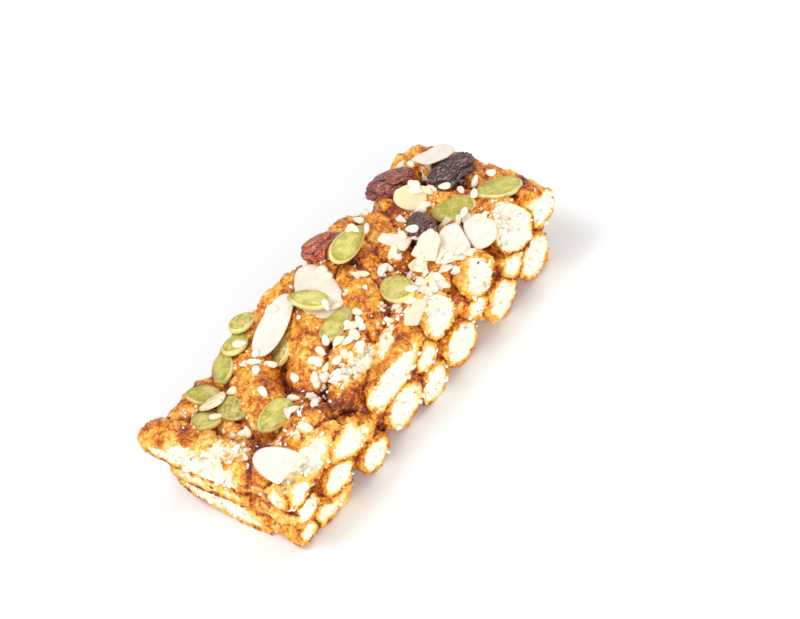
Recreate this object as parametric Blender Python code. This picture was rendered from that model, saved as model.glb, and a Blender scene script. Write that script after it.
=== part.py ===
"""Seed bar: puffed grain sticks set in brown sugar syrup, cut from a slab and topped with seeds.

The bar lies flat. +X runs along it, +Y across it and +Z up, and the origin is on the surface
that it rests on, under its middle. Layout values are in millimetres and degrees, as named,
and everything that is modelled is in metres.
"""

import math
import random

import bmesh
import bpy
import numpy as np
from mathutils import Matrix, Vector
from mathutils.bvhtree import BVHTree

MM = 0.001

# The slab's knife cuts, in mm: near end, far end, right side and left side
NEAR_CUT = -55.5
FAR_CUT = 56.0
RIGHT_CUT = -20.5
LEFT_CUT = 24.0
CUT_SCATTER = 1.0

# The solid middle of the bar, that the sticks are pressed into
CORE_INSET = 2.4
CORE_BOTTOM = 4.6
CORE_TOP = 17.2

# A puffed stick: sides round it, rings along it, how square its ends are and its unevenness
STICK_SIDES = 8
STICK_RINGS = (-0.93, -0.62, 0.0, 0.62, 0.93)
STICK_END_POWER = 3.0
STICK_FLATTEN = 0.86
STICK_BEND = 1.3
STICK_UNEVEN = 0.05

# Sticks of the top layer: along, across, height of the middle, turn, pitch, length, radius
TOP_STICKS = (
    (-51.6, 8.6, 17.4, 92, 1, 36, 5.6),
    (-50.3, -15.5, 16.4, 82, 0, 24, 5.4),
    (-41.5, 11.0, 14.0, 96, 0, 22, 4.6),
    (-30.0, 8.0, 17.0, 50, 0, 31, 6.4),
    (-15.0, 4.0, 17.2, 42, 2, 29, 5.8),
    (-38.0, -11.4, 17.0, 10, 0, 22, 5.4),
    (-45.0, -17.4, 17.6, 3, 0, 28, 4.6),
    (-9.0, -17.6, 16.6, 27, 0, 35, 6.0),
    (-17.0, -11.8, 17.4, 9, 0, 21, 4.6),
    (-10.0, -5.0, 17.0, 22, 0, 21, 5.3),
    (4.0, 1.0, 17.2, 52, 0, 31, 5.6),
    (14.5, 8.0, 17.0, 60, 0, 20, 5.2),
    (24.5, 9.5, 17.1, 58, 0, 23, 5.5),
    (33.5, 11.0, 17.2, 52, 2, 27, 5.6),
    (52.3, 3.4, 17.3, 88, 0, 41, 6.0),
    (-7.5, 20.4, 17.8, 10, 0, 31, 5.4),
    (-25.0, 19.6, 16.4, 30, 0, 20, 5.1),
    (-41.0, 19.8, 15.4, 8, 0, 21, 4.8),
    (22.5, -7.5, 16.0, 18, 0, 30, 5.6),
    (41.0, -15.5, 17.4, 76, 0, 24, 6.6),
    (8.3, -16.0, 17.2, 80, 0, 21, 6.0),
    (24.3, -17.5, 15.8, 62, 0, 20, 5.8),
    (51.4, -17.0, 16.2, 84, 0, 20, 6.0),
    (15.5, 19.4, 16.8, 18, 0, 27, 5.5),
    (42.0, 0.5, 16.6, 102, 0, 23, 5.3),
    (42.5, 17.6, 16.6, 20, 0, 25, 5.4),
    (0.5, 10.0, 14.6, 66, 0, 20, 4.8),
    (-22.0, -3.0, 14.4, 0, 0, 24, 5.0),
    (10.5, -4.6, 16.2, 66, 0, 19, 5.0),
)

# Sticks below them, whose cut ends show on the two long sides and on the near end
LOWER_STICKS = (
    (-53.0, 5.0, 11.0, 90, 0, 25, 3.9),
    (-51.0, 3.6, 5.0, 89, 8, 30, 5.8),
    (-50.0, -13.5, 10.8, 86, 0, 25, 5.0),
    (-50.5, -14.5, 3.4, 84, 0, 23, 3.9),
    (-42.5, -18.0, 3.8, 4, 0, 16, 4.4),
    (-38.5, -15.0, 8.8, 92, 0, 27, 5.8),
    (-28.5, -17.4, 13.0, 30, -20, 26, 5.4),
    (-12.4, -14.5, 6.4, 98, 0, 29, 7.0),
    (-1.0, -14.0, 4.6, 86, 2, 28, 6.2),
    (12.0, -13.5, 6.2, 84, 0, 28, 7.0),
    (28.0, -14.0, 5.9, 95, 0, 27, 6.6),
    (43.8, -13.5, 6.5, 88, 0, 28, 7.2),
    (-26.0, -14.5, 4.6, 88, 0, 25, 5.6),
    (0.5, -15.0, 13.0, 72, 0, 24, 4.6),
    (18.5, -15.0, 12.0, 100, 0, 25, 4.8),
    (35.8, -15.0, 11.0, 84, 0, 25, 4.9),
    (0.5, 0.2, 4.6, 4, 0, 28, 6.2),
    (-33.0, 15.0, 11.0, 86, 0, 24, 4.7),
    (-20.5, 15.0, 11.4, 95, 0, 24, 4.5),
    (-8.0, 15.5, 11.2, 84, 0, 24, 4.9),
    (5.0, 15.0, 11.5, 92, 0, 24, 4.6),
    (17.0, 15.0, 11.2, 98, 0, 24, 4.7),
    (29.5, 15.0, 11.4, 86, 0, 24, 4.8),
    (42.5, 15.0, 10.8, 92, 0, 24, 4.7),
    (51.8, 2.0, 10.4, 90, 0, 40, 4.6),
)

# The hidden lower sticks lie in a row across the bar's left half, one every pitch
LEFT_ROW_START = -39.5
LEFT_ROW_PITCH = 12.5
LEFT_ROW_COUNT = 8
LEFT_ROW_ACROSS = 12.5
LEFT_ROW_HEIGHT = 5.0
LEFT_ROW_LENGTH = 30.0
LEFT_ROW_RADIUS = 6.1
LEFT_ROW_TURN_SCATTER = 14.0

# Toppings in the order that they were scattered: kind, along, across, turn of the narrow end,
# length, width, and the share of the half length at which the narrow end is broken off
TOPPINGS = (
    ("raisin", 13.2, 19.6, 130, 11.6, 8.6, 1.0),
    ("raisin", 38.4, 17.0, 156, 13.0, 8.0, 1.0),
    ("raisin", 48.0, 4.8, 151, 13.2, 8.8, 1.0),
    ("raisin", 29.2, 0.4, 48, 11.8, 7.6, 1.0),
    ("pumpkin_seed", -18.8, 9.2, 225, 11.0, 6.2, 1.0),
    ("almond_flake", 0.4, 12.0, 52, 19.0, 11.0, 1.0),
    ("almond_flake", -14.2, 14.0, 18, 20.5, 8.6, 1.0),
    ("almond_flake", -49.0, -15.8, 264, 16.0, 9.4, 0.45),
    ("almond_flake", 37.8, 10.0, 30, 11.0, 8.4, 0.3),
    ("almond_flake", 52.2, 11.4, -10, 11.0, 6.6, 0.7),
    ("almond_flake", 22.2, 4.8, 100, 9.5, 5.0, 0.7),
    ("almond_flake", 33.4, -14.8, 228, 12.5, 8.0, 0.6),
    ("almond_flake", 28.8, -9.6, 30, 13.5, 8.2, 0.7),
    ("almond_flake", 24.8, -5.2, 20, 11.0, 5.6, 0.5),
    ("almond_flake", 4.8, -14.8, 20, 9.5, 5.6, 0.6),
    ("pumpkin_seed", -44.4, 12.2, 190, 9.2, 6.8, 1.0),
    ("pumpkin_seed", -38.8, 8.0, 262, 9.4, 5.6, 1.0),
    ("pumpkin_seed", -38.0, 18.0, 125, 9.2, 5.6, 1.0),
    ("pumpkin_seed", -30.0, 17.8, 225, 10.0, 5.8, 1.0),
    ("pumpkin_seed", -23.0, 19.0, 26, 9.6, 6.2, 1.0),
    ("pumpkin_seed", -16.8, 21.8, 14, 9.2, 5.6, 1.0),
    ("pumpkin_seed", -36.8, -3.6, 180, 11.8, 6.2, 1.0),
    ("pumpkin_seed", -4.6, 10.2, 120, 10.5, 6.6, 1.0),
    ("pumpkin_seed", -6.4, 0.8, 5, 12.5, 6.4, 1.0),
    ("pumpkin_seed", 14.4, 12.4, 2, 13.5, 6.4, 1.0),
    ("pumpkin_seed", 9.0, -6.2, 66, 14.4, 7.9, 1.0),
    ("pumpkin_seed", 38.6, -2.6, 110, 13.0, 7.4, 1.0),
    ("pumpkin_seed", 48.0, -9.8, 148, 13.0, 7.4, 1.0),
    ("split_seed", -39.6, 13.0, 140, 6.6, 4.0, 1.0),
)
PUMPKIN_THICKNESS = 2.6
PUMPKIN_POINTS = 10
PUMPKIN_TIP = 0.22
ALMOND_THICKNESS = 0.9
ALMOND_CURL = 0.009
ALMOND_POINTS = 12
ALMOND_TIP = 0.18
RAISIN_HEIGHT_SHARE = 0.78
RAISIN_SIDES = 12
RAISIN_RINGS = 7
RAISIN_WRINKLE = 0.12

# How deep each kind sinks into the syrup, and how far up the bumps under it it settles, in %
SINK = {"raisin": 0.9, "pumpkin_seed": 0.6, "almond_flake": 0.3, "split_seed": 0.3}
SETTLE = {"raisin": 88, "pumpkin_seed": 93, "almond_flake": 97, "split_seed": 90}

# Small chips of almond, fused to the bar: along, across, turn, length, width
ALMOND_CHIPS = (
    (16.8, -8.4, 70, 7.0, 4.8),
    (8.2, 4.6, 105, 5.4, 3.0),
    (10.2, -14.6, 80, 5.0, 3.0),
    (32.6, -4.6, 130, 4.6, 2.4),
    (44.6, 10.4, 60, 4.6, 2.4),
)

# Sesame seeds, fused to the bar in loose groups: along, across, how many
SESAME_GROUPS = (
    (-46.8, -3.6, 2),
    (-35.8, 9.6, 1),
    (-27.0, 9.0, 4),
    (-26.0, -1.8, 1),
    (-21.8, -2.2, 2),
    (-31.4, -5.8, 1),
    (-33.4, -9.2, 2),
    (-29.2, -9.4, 1),
    (-25.4, -10.4, 4),
    (-21.0, -9.6, 3),
    (-17.6, -5.4, 3),
    (-12.2, -7.2, 4),
    (-8.4, -10.6, 3),
    (-4.6, -6.6, 4),
    (-1.6, -11.8, 1),
    (1.6, -13.0, 2),
    (17.4, 0.0, 1),
    (13.8, -2.6, 3),
    (12.4, -12.6, 6),
    (17.0, -15.4, 4),
    (25.4, 4.4, 2),
    (34.2, 3.6, 2),
    (41.0, 8.6, 3),
    (43.6, -1.6, 1),
    (44.0, -5.4, 1),
    (36.6, -10.6, 4),
    (52.0, -5.0, 1),
    (46.0, 17.6, 2),
    (5.8, 15.6, 3),
    (22.6, 15.2, 4),
    (-33.0, 2.4, 1),
    (-10.6, 17.0, 2),
)
SESAME_SPREAD = 1.9
SESAME_LENGTH = 3.2
SESAME_WIDTH = 1.9
SESAME_THICKNESS = 1.3
SESAME_POINTS = 6
SESAME_CLEAR = 0.7
SESAME_SINK = 0.5

# How a topping lies: no lower and no steeper than this, and clear of the next solid
LOWEST_SEAT = 15.0
STEEPEST_SEAT = 0.7
LEVEL_LIKING = 0.6
GAP = 0.3
LIFT_STEP = 0.15
LIFT_STEPS = 40
WELD = 5e-6
SEED = 20


def clear_scene():
    """Removes every object that the startup scene holds."""
    for obj in list(bpy.data.objects):
        bpy.data.objects.remove(obj, do_unlink=True)


def material(name, colour, roughness):
    """A plain Principled material with the colour that this part of the bar has."""
    made = bpy.data.materials.new(name)
    made.use_nodes = True
    shader = made.node_tree.nodes["Principled BSDF"]
    shader.inputs["Base Color"].default_value = (*colour, 1.0)
    shader.inputs["Roughness"].default_value = roughness
    shader.inputs["Metallic"].default_value = 0.0
    return made


def object_from(name, shape, finish):
    """Turns a bmesh into a linked object, with its triangles ready for a solid."""
    bmesh.ops.triangulate(shape, faces=shape.faces)
    bmesh.ops.recalc_face_normals(shape, faces=shape.faces)
    mesh = bpy.data.meshes.new(name)
    shape.to_mesh(mesh)
    shape.free()
    mesh.materials.append(finish)
    mesh.shade_smooth()
    mesh.set_sharp_from_angle(angle=math.radians(40))
    obj = bpy.data.objects.new(name, mesh)
    bpy.context.scene.collection.objects.link(obj)
    return obj


def all_sticks():
    """Every stick as a dict, with the values that the seeded rule draws for it."""
    draw = random.Random(SEED)
    rows = list(TOP_STICKS) + list(LOWER_STICKS)
    for i in range(LEFT_ROW_COUNT):
        along = LEFT_ROW_START + i * LEFT_ROW_PITCH + draw.uniform(-1.2, 1.2)
        across = LEFT_ROW_ACROSS + draw.uniform(-1.5, 1.5)
        height = LEFT_ROW_HEIGHT + draw.uniform(-0.5, 1.2)
        turn = 90 + draw.uniform(-LEFT_ROW_TURN_SCATTER, LEFT_ROW_TURN_SCATTER)
        radius = LEFT_ROW_RADIUS + draw.uniform(-0.5, 0.5)
        rows.append((along, across, height, turn, 0, LEFT_ROW_LENGTH, radius))
    sticks = []
    for along, across, height, turn, pitch, length, radius in rows:
        sticks.append(
            {
                "middle": Vector((along, across, height)),
                "turn": math.radians(turn),
                "pitch": math.radians(pitch),
                "half": length / 2,
                "radius": radius,
                "bend": draw.uniform(-STICK_BEND, STICK_BEND),
                "cuts": [draw.uniform(-CUT_SCATTER, CUT_SCATTER) for _ in range(4)],
                "seed": draw.randrange(1 << 30),
            }
        )
    return sticks


def ring(shape, points):
    """Adds a closed ring of vertices to the shape."""
    return [shape.verts.new(point) for point in points]


def bridge(shape, first, second):
    """Faces between two rings of the same count."""
    count = len(first)
    for i in range(count):
        j = (i + 1) % count
        shape.faces.new((first[i], first[j], second[j], second[i]))


def cap(shape, pole, loop):
    """A fan of faces from a pole to a ring."""
    for i in range(len(loop)):
        shape.faces.new((pole, loop[i], loop[(i + 1) % len(loop)]))


def stick_solid(stick):
    """A rounded, slightly bent rod, cut off where the slab's knife cuts pass it."""
    draw = random.Random(stick["seed"])
    half, radius = stick["half"] * MM, stick["radius"] * MM
    bend = stick["bend"] * MM
    shape = bmesh.new()
    loops = []
    for share in STICK_RINGS:
        girth = radius * (1 - abs(share) ** STICK_END_POWER) ** (1 / STICK_END_POWER)
        points = []
        for i in range(STICK_SIDES):
            angle = 2 * math.pi * i / STICK_SIDES
            reach = girth * (1 + draw.uniform(-STICK_UNEVEN, STICK_UNEVEN))
            across = reach * math.cos(angle) + bend * (share * share - 1 / 3)
            points.append((share * half, across, reach * STICK_FLATTEN * math.sin(angle)))
        loops.append(ring(shape, points))
    for first, second in zip(loops, loops[1:]):
        bridge(shape, first, second)
    cap(shape, shape.verts.new((-half, bend * 2 / 3, 0)), loops[0])
    cap(shape, shape.verts.new((half, bend * 2 / 3, 0)), loops[-1])
    place = Matrix.Translation(stick["middle"] * MM)
    place @= Matrix.Rotation(stick["turn"], 4, "Z") @ Matrix.Rotation(-stick["pitch"], 4, "Y")
    shape.transform(place)
    near, far, right, left = stick["cuts"]
    planes = (
        ((NEAR_CUT + near, 0, 0), (-1, 0, 0)),
        ((FAR_CUT + far, 0, 0), (1, 0, 0)),
        ((0, RIGHT_CUT + right, 0), (0, -1, 0)),
        ((0, LEFT_CUT + left, 0), (0, 1, 0)),
    )
    for point, outwards in planes:
        slice_off(shape, Vector(point) * MM, Vector(outwards))
    return shape


def slice_off(shape, point, outwards):
    """Cuts away what lies beyond a plane, and closes the cut with a flat face."""
    everything = shape.verts[:] + shape.edges[:] + shape.faces[:]
    cut = bmesh.ops.bisect_plane(
        shape, geom=everything, plane_co=point, plane_no=outwards, dist=1e-7, clear_outer=True
    )
    edges = [item for item in cut["geom_cut"] if isinstance(item, bmesh.types.BMEdge)]
    if edges:
        bmesh.ops.holes_fill(shape, edges=edges)


def core_solid():
    """The block of pressed syrup and grain behind the sticks."""
    low = Vector((NEAR_CUT + CORE_INSET, RIGHT_CUT + CORE_INSET, CORE_BOTTOM)) * MM
    high = Vector((FAR_CUT - CORE_INSET, LEFT_CUT - CORE_INSET, CORE_TOP)) * MM
    shape = bmesh.new()
    bmesh.ops.create_cube(shape, size=1.0)
    size = high - low
    shape.transform(Matrix.Translation((low + high) / 2) @ Matrix.Diagonal((*size, 1)))
    return shape


def boolean(obj, others, operation):
    """Joins the other objects to obj, or cuts them from it, and removes them."""
    group = bpy.data.collections.new("operands")
    bpy.context.scene.collection.children.link(group)
    for other in others:
        bpy.context.scene.collection.objects.unlink(other)
        group.objects.link(other)
    change = obj.modifiers.new("shape", "BOOLEAN")
    change.operation = operation
    change.operand_type = "COLLECTION"
    change.collection = group
    change.solver = "EXACT"
    change.use_self = False
    bpy.context.view_layer.objects.active = obj
    bpy.ops.object.modifier_apply(modifier=change.name)
    for other in others:
        bpy.data.objects.remove(other, do_unlink=True)
    bpy.data.collections.remove(group)


def tidy(obj, floor=None):
    """Keeps the mesh's largest shell, and gives it a flat foot at the floor if one is named."""
    shape = bmesh.new()
    shape.from_mesh(obj.data)
    bmesh.ops.remove_doubles(shape, verts=shape.verts, dist=WELD)
    bmesh.ops.dissolve_degenerate(shape, edges=shape.edges, dist=WELD)
    if floor is not None:
        slice_off(shape, Vector((0, 0, floor)), Vector((0, 0, -1)))
    close_slits(shape)
    bmesh.ops.triangulate(shape, faces=shape.faces)
    drop_small_shells(shape)
    shape.to_mesh(obj.data)
    shape.free()


def close_slits(shape):
    """Fills the hair-thin slits that welding close points can open, and drops bare edges."""
    bare = [edge for edge in shape.edges if not edge.link_faces]
    bmesh.ops.delete(shape, geom=bare, context="EDGES")
    rims = [edge for edge in shape.edges if len(edge.link_faces) == 1]
    if rims:
        bmesh.ops.holes_fill(shape, edges=rims)


def drop_small_shells(shape):
    """Removes sealed hollows and loose scraps: every shell but the one with the most faces."""
    left = set(shape.faces)
    shells = []
    while left:
        shell, front = set(), [left.pop()]
        while front:
            face = front.pop()
            shell.add(face)
            near = {other for edge in face.edges for other in edge.link_faces} & left
            left -= near
            front.extend(near)
        shells.append(shell)
    keep = max(shells, key=len)
    spare = [face for face in shape.faces if face not in keep]
    bmesh.ops.delete(shape, geom=spare, context="FACES")


def teardrop(points, length, width, tip, broken=1.0):
    """An outline with a narrow end at +X, which is cut off straight at the broken share."""
    outline = []
    for i in range(points):
        angle = 2 * math.pi * i / points
        x = min(math.cos(angle), broken) * length / 2
        y = math.sin(angle) * (1 - tip * math.cos(angle)) * width / 2
        outline.append((x * MM, y * MM))
    return outline


def lens_solid(outline, levels, curl=0.0):
    """A solid of rings, each the outline at a (share, height), closed by a pole at each end."""
    shape = bmesh.new()

    def lifted(x, y, z):
        return (x, y, (z + curl * (x / MM) ** 2) * MM)

    loops = []
    for share, height in levels[1:-1]:
        loops.append(ring(shape, [lifted(x * share, y * share, height) for x, y in outline]))
    for first, second in zip(loops, loops[1:]):
        bridge(shape, first, second)
    cap(shape, shape.verts.new((0, 0, levels[0][1] * MM)), loops[0])
    cap(shape, shape.verts.new((0, 0, levels[-1][1] * MM)), loops[-1])
    return shape


def pumpkin_shape(length, width, grow=0.0):
    """A shelled pumpkin seed: a flat lens with a pointed end."""
    thick = PUMPKIN_THICKNESS / 2 + grow
    outline = teardrop(PUMPKIN_POINTS, length + 2 * grow, width + 2 * grow, PUMPKIN_TIP)
    levels = ((0, -thick), (0.72, -0.72 * thick), (1, 0), (0.72, 0.72 * thick), (0, thick))
    return lens_solid(outline, levels)


def almond_shape(length, width, broken, grow=0.0):
    """A thin, slightly curled flake of almond, whole or with one end broken off."""
    thick = ALMOND_THICKNESS / 2 + grow
    size = (length + 2 * grow, width + 2 * grow)
    outline = teardrop(ALMOND_POINTS, *size, ALMOND_TIP, broken)
    levels = ((0, -thick), (0.6, -thick), (0.97, -thick), (1, thick), (0.6, thick), (0, thick))
    return lens_solid(outline, levels, ALMOND_CURL)


def raisin_shape(length, width, seed, grow=0.0):
    """A shrivelled ovoid: a ball whose radius is folded in along uneven grooves."""
    draw = random.Random(seed)
    half = [size / 2 + grow for size in (length, width, width * RAISIN_HEIGHT_SHARE)]
    folds = [draw.choice((-1, 1)) * draw.uniform(0.4, 1.0) for _ in range(RAISIN_SIDES)]
    shape = bmesh.new()
    loops = []
    for i in range(1, RAISIN_RINGS):
        polar = math.pi * i / RAISIN_RINGS
        points = []
        for j in range(RAISIN_SIDES):
            angle = 2 * math.pi * j / RAISIN_SIDES
            fold = folds[(j + i // 2) % RAISIN_SIDES] * math.sin(polar)
            reach = math.sin(polar) * (1 + RAISIN_WRINKLE * fold)
            points.append(
                (
                    -math.cos(polar) * half[0] * MM,
                    math.cos(angle) * reach * half[1] * MM,
                    math.sin(angle) * reach * half[2] * MM,
                )
            )
        loops.append(ring(shape, points))
    for first, second in zip(loops, loops[1:]):
        bridge(shape, first, second)
    cap(shape, shape.verts.new((-half[0] * MM, 0, 0)), loops[0])
    cap(shape, shape.verts.new((half[0] * MM, 0, 0)), loops[-1])
    return shape


def sesame_shape():
    """One hulled sesame seed, with few sides."""
    outline = teardrop(SESAME_POINTS, SESAME_LENGTH, SESAME_WIDTH, 0.25)
    thick = SESAME_THICKNESS / 2
    return lens_solid(outline, ((0, -thick), (1, 0), (0.7, 0.7 * thick), (0, thick)))


class Bed:
    """The surfaces that a topping can lie on: the bar, and the toppings already placed."""

    def __init__(self, bar):
        self.bar = self.tree(bar)
        self.toppings = []

    @staticmethod
    def tree(obj):
        mesh = obj.data
        points = [obj.matrix_world @ vertex.co for vertex in mesh.vertices]
        return BVHTree.FromPolygons(points, [tuple(face.vertices) for face in mesh.polygons])

    def add(self, obj):
        """Makes a placed topping part of the bed."""
        self.toppings.append(self.tree(obj))

    def touches(self, shape):
        """True if the shape crosses the surface of a topping already placed."""
        tree = BVHTree.FromBMesh(shape)
        return any(tree.overlap(other) for other in self.toppings)

    def height(self, x, y):
        """The bar's height at a point, and the highest topping's there, or None."""
        start, down = Vector((x, y, 0.1)), Vector((0, 0, -1))
        hit = self.bar.ray_cast(start, down)[0]
        over = [tree.ray_cast(start, down)[0] for tree in self.toppings]
        over = [point.z for point in over if point is not None]
        return (hit.z if hit is not None else None), (max(over) if over else None)

    def seat(self, along, across, turn, length, width, under, sink, settle):
        """Where a topping comes to rest when it is let down on the bed: at the tilt that brings
        its middle lowest, clear of the toppings below and pressed a little into the bar."""
        heading = math.radians(turn)
        forward = Vector((math.cos(heading), math.sin(heading)))
        sideways = Vector((-forward.y, forward.x))
        middle = Vector((along, across)) * MM
        spots = []
        for share in (0.0, 0.35, 0.7, 0.9, 1.05):
            for i in range(14 if share else 1):
                angle = 2 * math.pi * i / 14
                u = math.cos(angle) * share * length / 2 * MM
                v = math.sin(angle) * share * width / 2 * MM
                bar, topping = self.height(*(middle + forward * u + sideways * v))
                bar = bar if bar is not None and bar > LOWEST_SEAT * MM else np.nan
                depth = under * math.sqrt(max(0.0, 1 - share * share))
                spots.append((u, v, depth * MM, bar, topping or -1.0))
        u, v, depth, bar, topping = np.array(spots).T
        best = None
        for a in np.linspace(-STEEPEST_SEAT, STEEPEST_SEAT, 17):
            for b in np.linspace(-STEEPEST_SEAT, STEEPEST_SEAT, 17):
                if math.hypot(a, b) > STEEPEST_SEAT:
                    continue
                floor = a * u + b * v - depth
                on_bar = np.nanpercentile(bar - floor, settle) - sink * MM
                on_toppings = np.max(topping + GAP * MM - floor)
                height = max(on_bar, on_toppings)
                cost = height + LEVEL_LIKING * MM * (a * a + b * b)
                if best is None or cost < best[0]:
                    best = (cost, height, a, b)
        height, a, b = best[1:]
        ahead = Vector((forward.x, forward.y, a)).normalized()
        up = ahead.cross(Vector((sideways.x, sideways.y, b))).normalized()
        turned = Matrix((ahead, up.cross(ahead), up)).transposed().to_4x4()
        return Matrix.Translation((middle.x, middle.y, height)) @ turned


def topping_maker(kind, length, width, broken, seed):
    """A function that makes the topping's shape, grown by a clearance, and half its thickness."""
    if kind == "raisin":
        half_thick = width * RAISIN_HEIGHT_SHARE / 2
        return (lambda grow: raisin_shape(length, width, seed, grow)), half_thick
    if kind == "pumpkin_seed":
        return (lambda grow: pumpkin_shape(length, width, grow)), PUMPKIN_THICKNESS / 2
    return (lambda grow: almond_shape(length, width, broken, grow)), ALMOND_THICKNESS / 2


def lay(name, make, place, finish, bed, pockets):
    """Adds a topping as its own solid, lifted off the toppings that it would touch, and the
    pocket that keeps the bar clear of it."""
    up = place.to_3x3() @ Vector((0, 0, LIFT_STEP * MM))
    for _ in range(LIFT_STEPS):
        trial = make(GAP)
        trial.transform(place)
        clear = not bed.touches(trial)
        trial.free()
        if clear:
            break
        place = Matrix.Translation(up) @ place
    pocket = make(GAP)
    pocket.transform(place)
    shape = make(0.0)
    shape.transform(place)
    bed.add(object_from(name, shape, finish))
    pockets.append(object_from(f"pocket_{name}", pocket, finish))


def sesame_seeds(bed, finish):
    """Sesame seeds scattered round each group's middle, leaving the larger toppings clear."""
    draw = random.Random(SEED + 1)
    made, taken = [], []
    for along, across, count in SESAME_GROUPS:
        spread = SESAME_SPREAD * math.sqrt(count)
        for _ in range(count):
            x = along + draw.uniform(-spread, spread) * (count > 1)
            y = across + draw.uniform(-spread, spread) * (count > 1)
            turn = draw.uniform(0, 360)
            round_it = [(math.cos(a), math.sin(a)) for a in (0, 1.05, 2.1, 3.14, 4.2, 5.24)]
            reach = SESAME_LENGTH / 2 + SESAME_CLEAR
            spots = [((x + u * reach) * MM, (y + v * reach) * MM) for u, v in round_it]
            spots.append((x * MM, y * MM))
            if any(bed.height(*spot)[1] is not None for spot in spots):
                continue
            if any(math.hypot(x - u, y - v) < SESAME_LENGTH * 0.8 for u, v in taken):
                continue
            taken.append((x, y))
            half_thick = SESAME_THICKNESS / 2
            spot = (x, y, turn, SESAME_LENGTH, SESAME_WIDTH)
            place = bed.seat(*spot, half_thick, SESAME_SINK, 60)
            shape = sesame_shape()
            shape.transform(place)
            made.append(object_from(f"sesame_{len(made):03d}", shape, finish))
    return made


def almond_chips(bed, finish):
    """Small chips of almond pressed into the bar, where they are clear of the toppings."""
    made = []
    for along, across, turn, length, width in ALMOND_CHIPS:
        place = bed.seat(along, across, turn, length, width, ALMOND_THICKNESS / 2, 0.4, 60)
        trial = almond_shape(length, width, 0.6, GAP)
        trial.transform(place)
        if not bed.touches(trial):
            shape = almond_shape(length, width, 0.6)
            shape.transform(place)
            made.append(object_from(f"chip_{len(made)}", shape, finish))
        trial.free()
    return made


def build():
    """Models the bar and everything that lies on it."""
    clear_scene()
    crust = material("baked_crust", (0.56, 0.24, 0.05), 0.45)
    green = material("pumpkin_seed", (0.33, 0.36, 0.09), 0.42)
    ivory = material("almond", (0.90, 0.82, 0.66), 0.5)
    dark = material("raisin", (0.10, 0.035, 0.03), 0.38)
    bar = object_from("bar", core_solid(), crust)
    sticks = [
        object_from(f"stick_{i:02d}", stick_solid(stick), crust)
        for i, stick in enumerate(all_sticks())
    ]
    boolean(bar, sticks, "UNION")
    tidy(bar, floor=0.0)
    bed = Bed(bar)
    pockets = []
    finishes = {"raisin": dark, "pumpkin_seed": green, "almond_flake": ivory, "split_seed": ivory}
    counts = dict.fromkeys(finishes, 0)
    for kind, along, across, turn, length, width, broken in TOPPINGS:
        counts[kind] += 1
        make, half_thick = topping_maker(kind, length, width, broken, SEED + counts[kind])
        spot = (along, across, turn, length, width)
        place = bed.seat(*spot, half_thick, SINK[kind], SETTLE[kind])
        lay(f"{kind}_{counts[kind]:02d}", make, place, finishes[kind], bed, pockets)
    boolean(bar, sesame_seeds(bed, crust) + almond_chips(bed, crust), "UNION")
    boolean(bar, pockets, "DIFFERENCE")
    tidy(bar)
    bar.data.shade_smooth()
    bar.data.set_sharp_from_angle(angle=math.radians(40))


build()
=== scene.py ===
"""A seed bar: puffed grain sticks set in brown sugar syrup, cut from a slab and strewn with seeds.

The sticks are the ones that the solid bar is made of. Their cut and torn skin is worked out as
one distance field for each bed of sticks, and the syrup as another round them. Layout values are
in millimetres and degrees, and meshes are in metres.
"""

import math
import random

import bpy
import numpy as np
from mathutils import Matrix, Vector
from mathutils.bvhtree import BVHTree


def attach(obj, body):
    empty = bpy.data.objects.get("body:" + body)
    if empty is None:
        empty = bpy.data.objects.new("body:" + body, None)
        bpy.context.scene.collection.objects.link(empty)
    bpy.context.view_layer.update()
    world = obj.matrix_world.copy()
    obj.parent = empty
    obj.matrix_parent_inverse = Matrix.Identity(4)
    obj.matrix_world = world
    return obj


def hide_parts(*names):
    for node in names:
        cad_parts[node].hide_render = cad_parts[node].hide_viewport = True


MM = 0.001
SEED = 20

# The slab's knife cuts: near end, far end, right side and left side
NEAR_CUT = -55.5
FAR_CUT = 56.0
RIGHT_CUT = -20.5
LEFT_CUT = 24.0
CUT_SCATTER = 1.0

# How a stick is shaped: how square its ends are, how flat it is and how far it may bend
STICK_END_POWER = 3.0
STICK_FLATTEN = 0.86
STICK_BEND = 1.3

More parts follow.
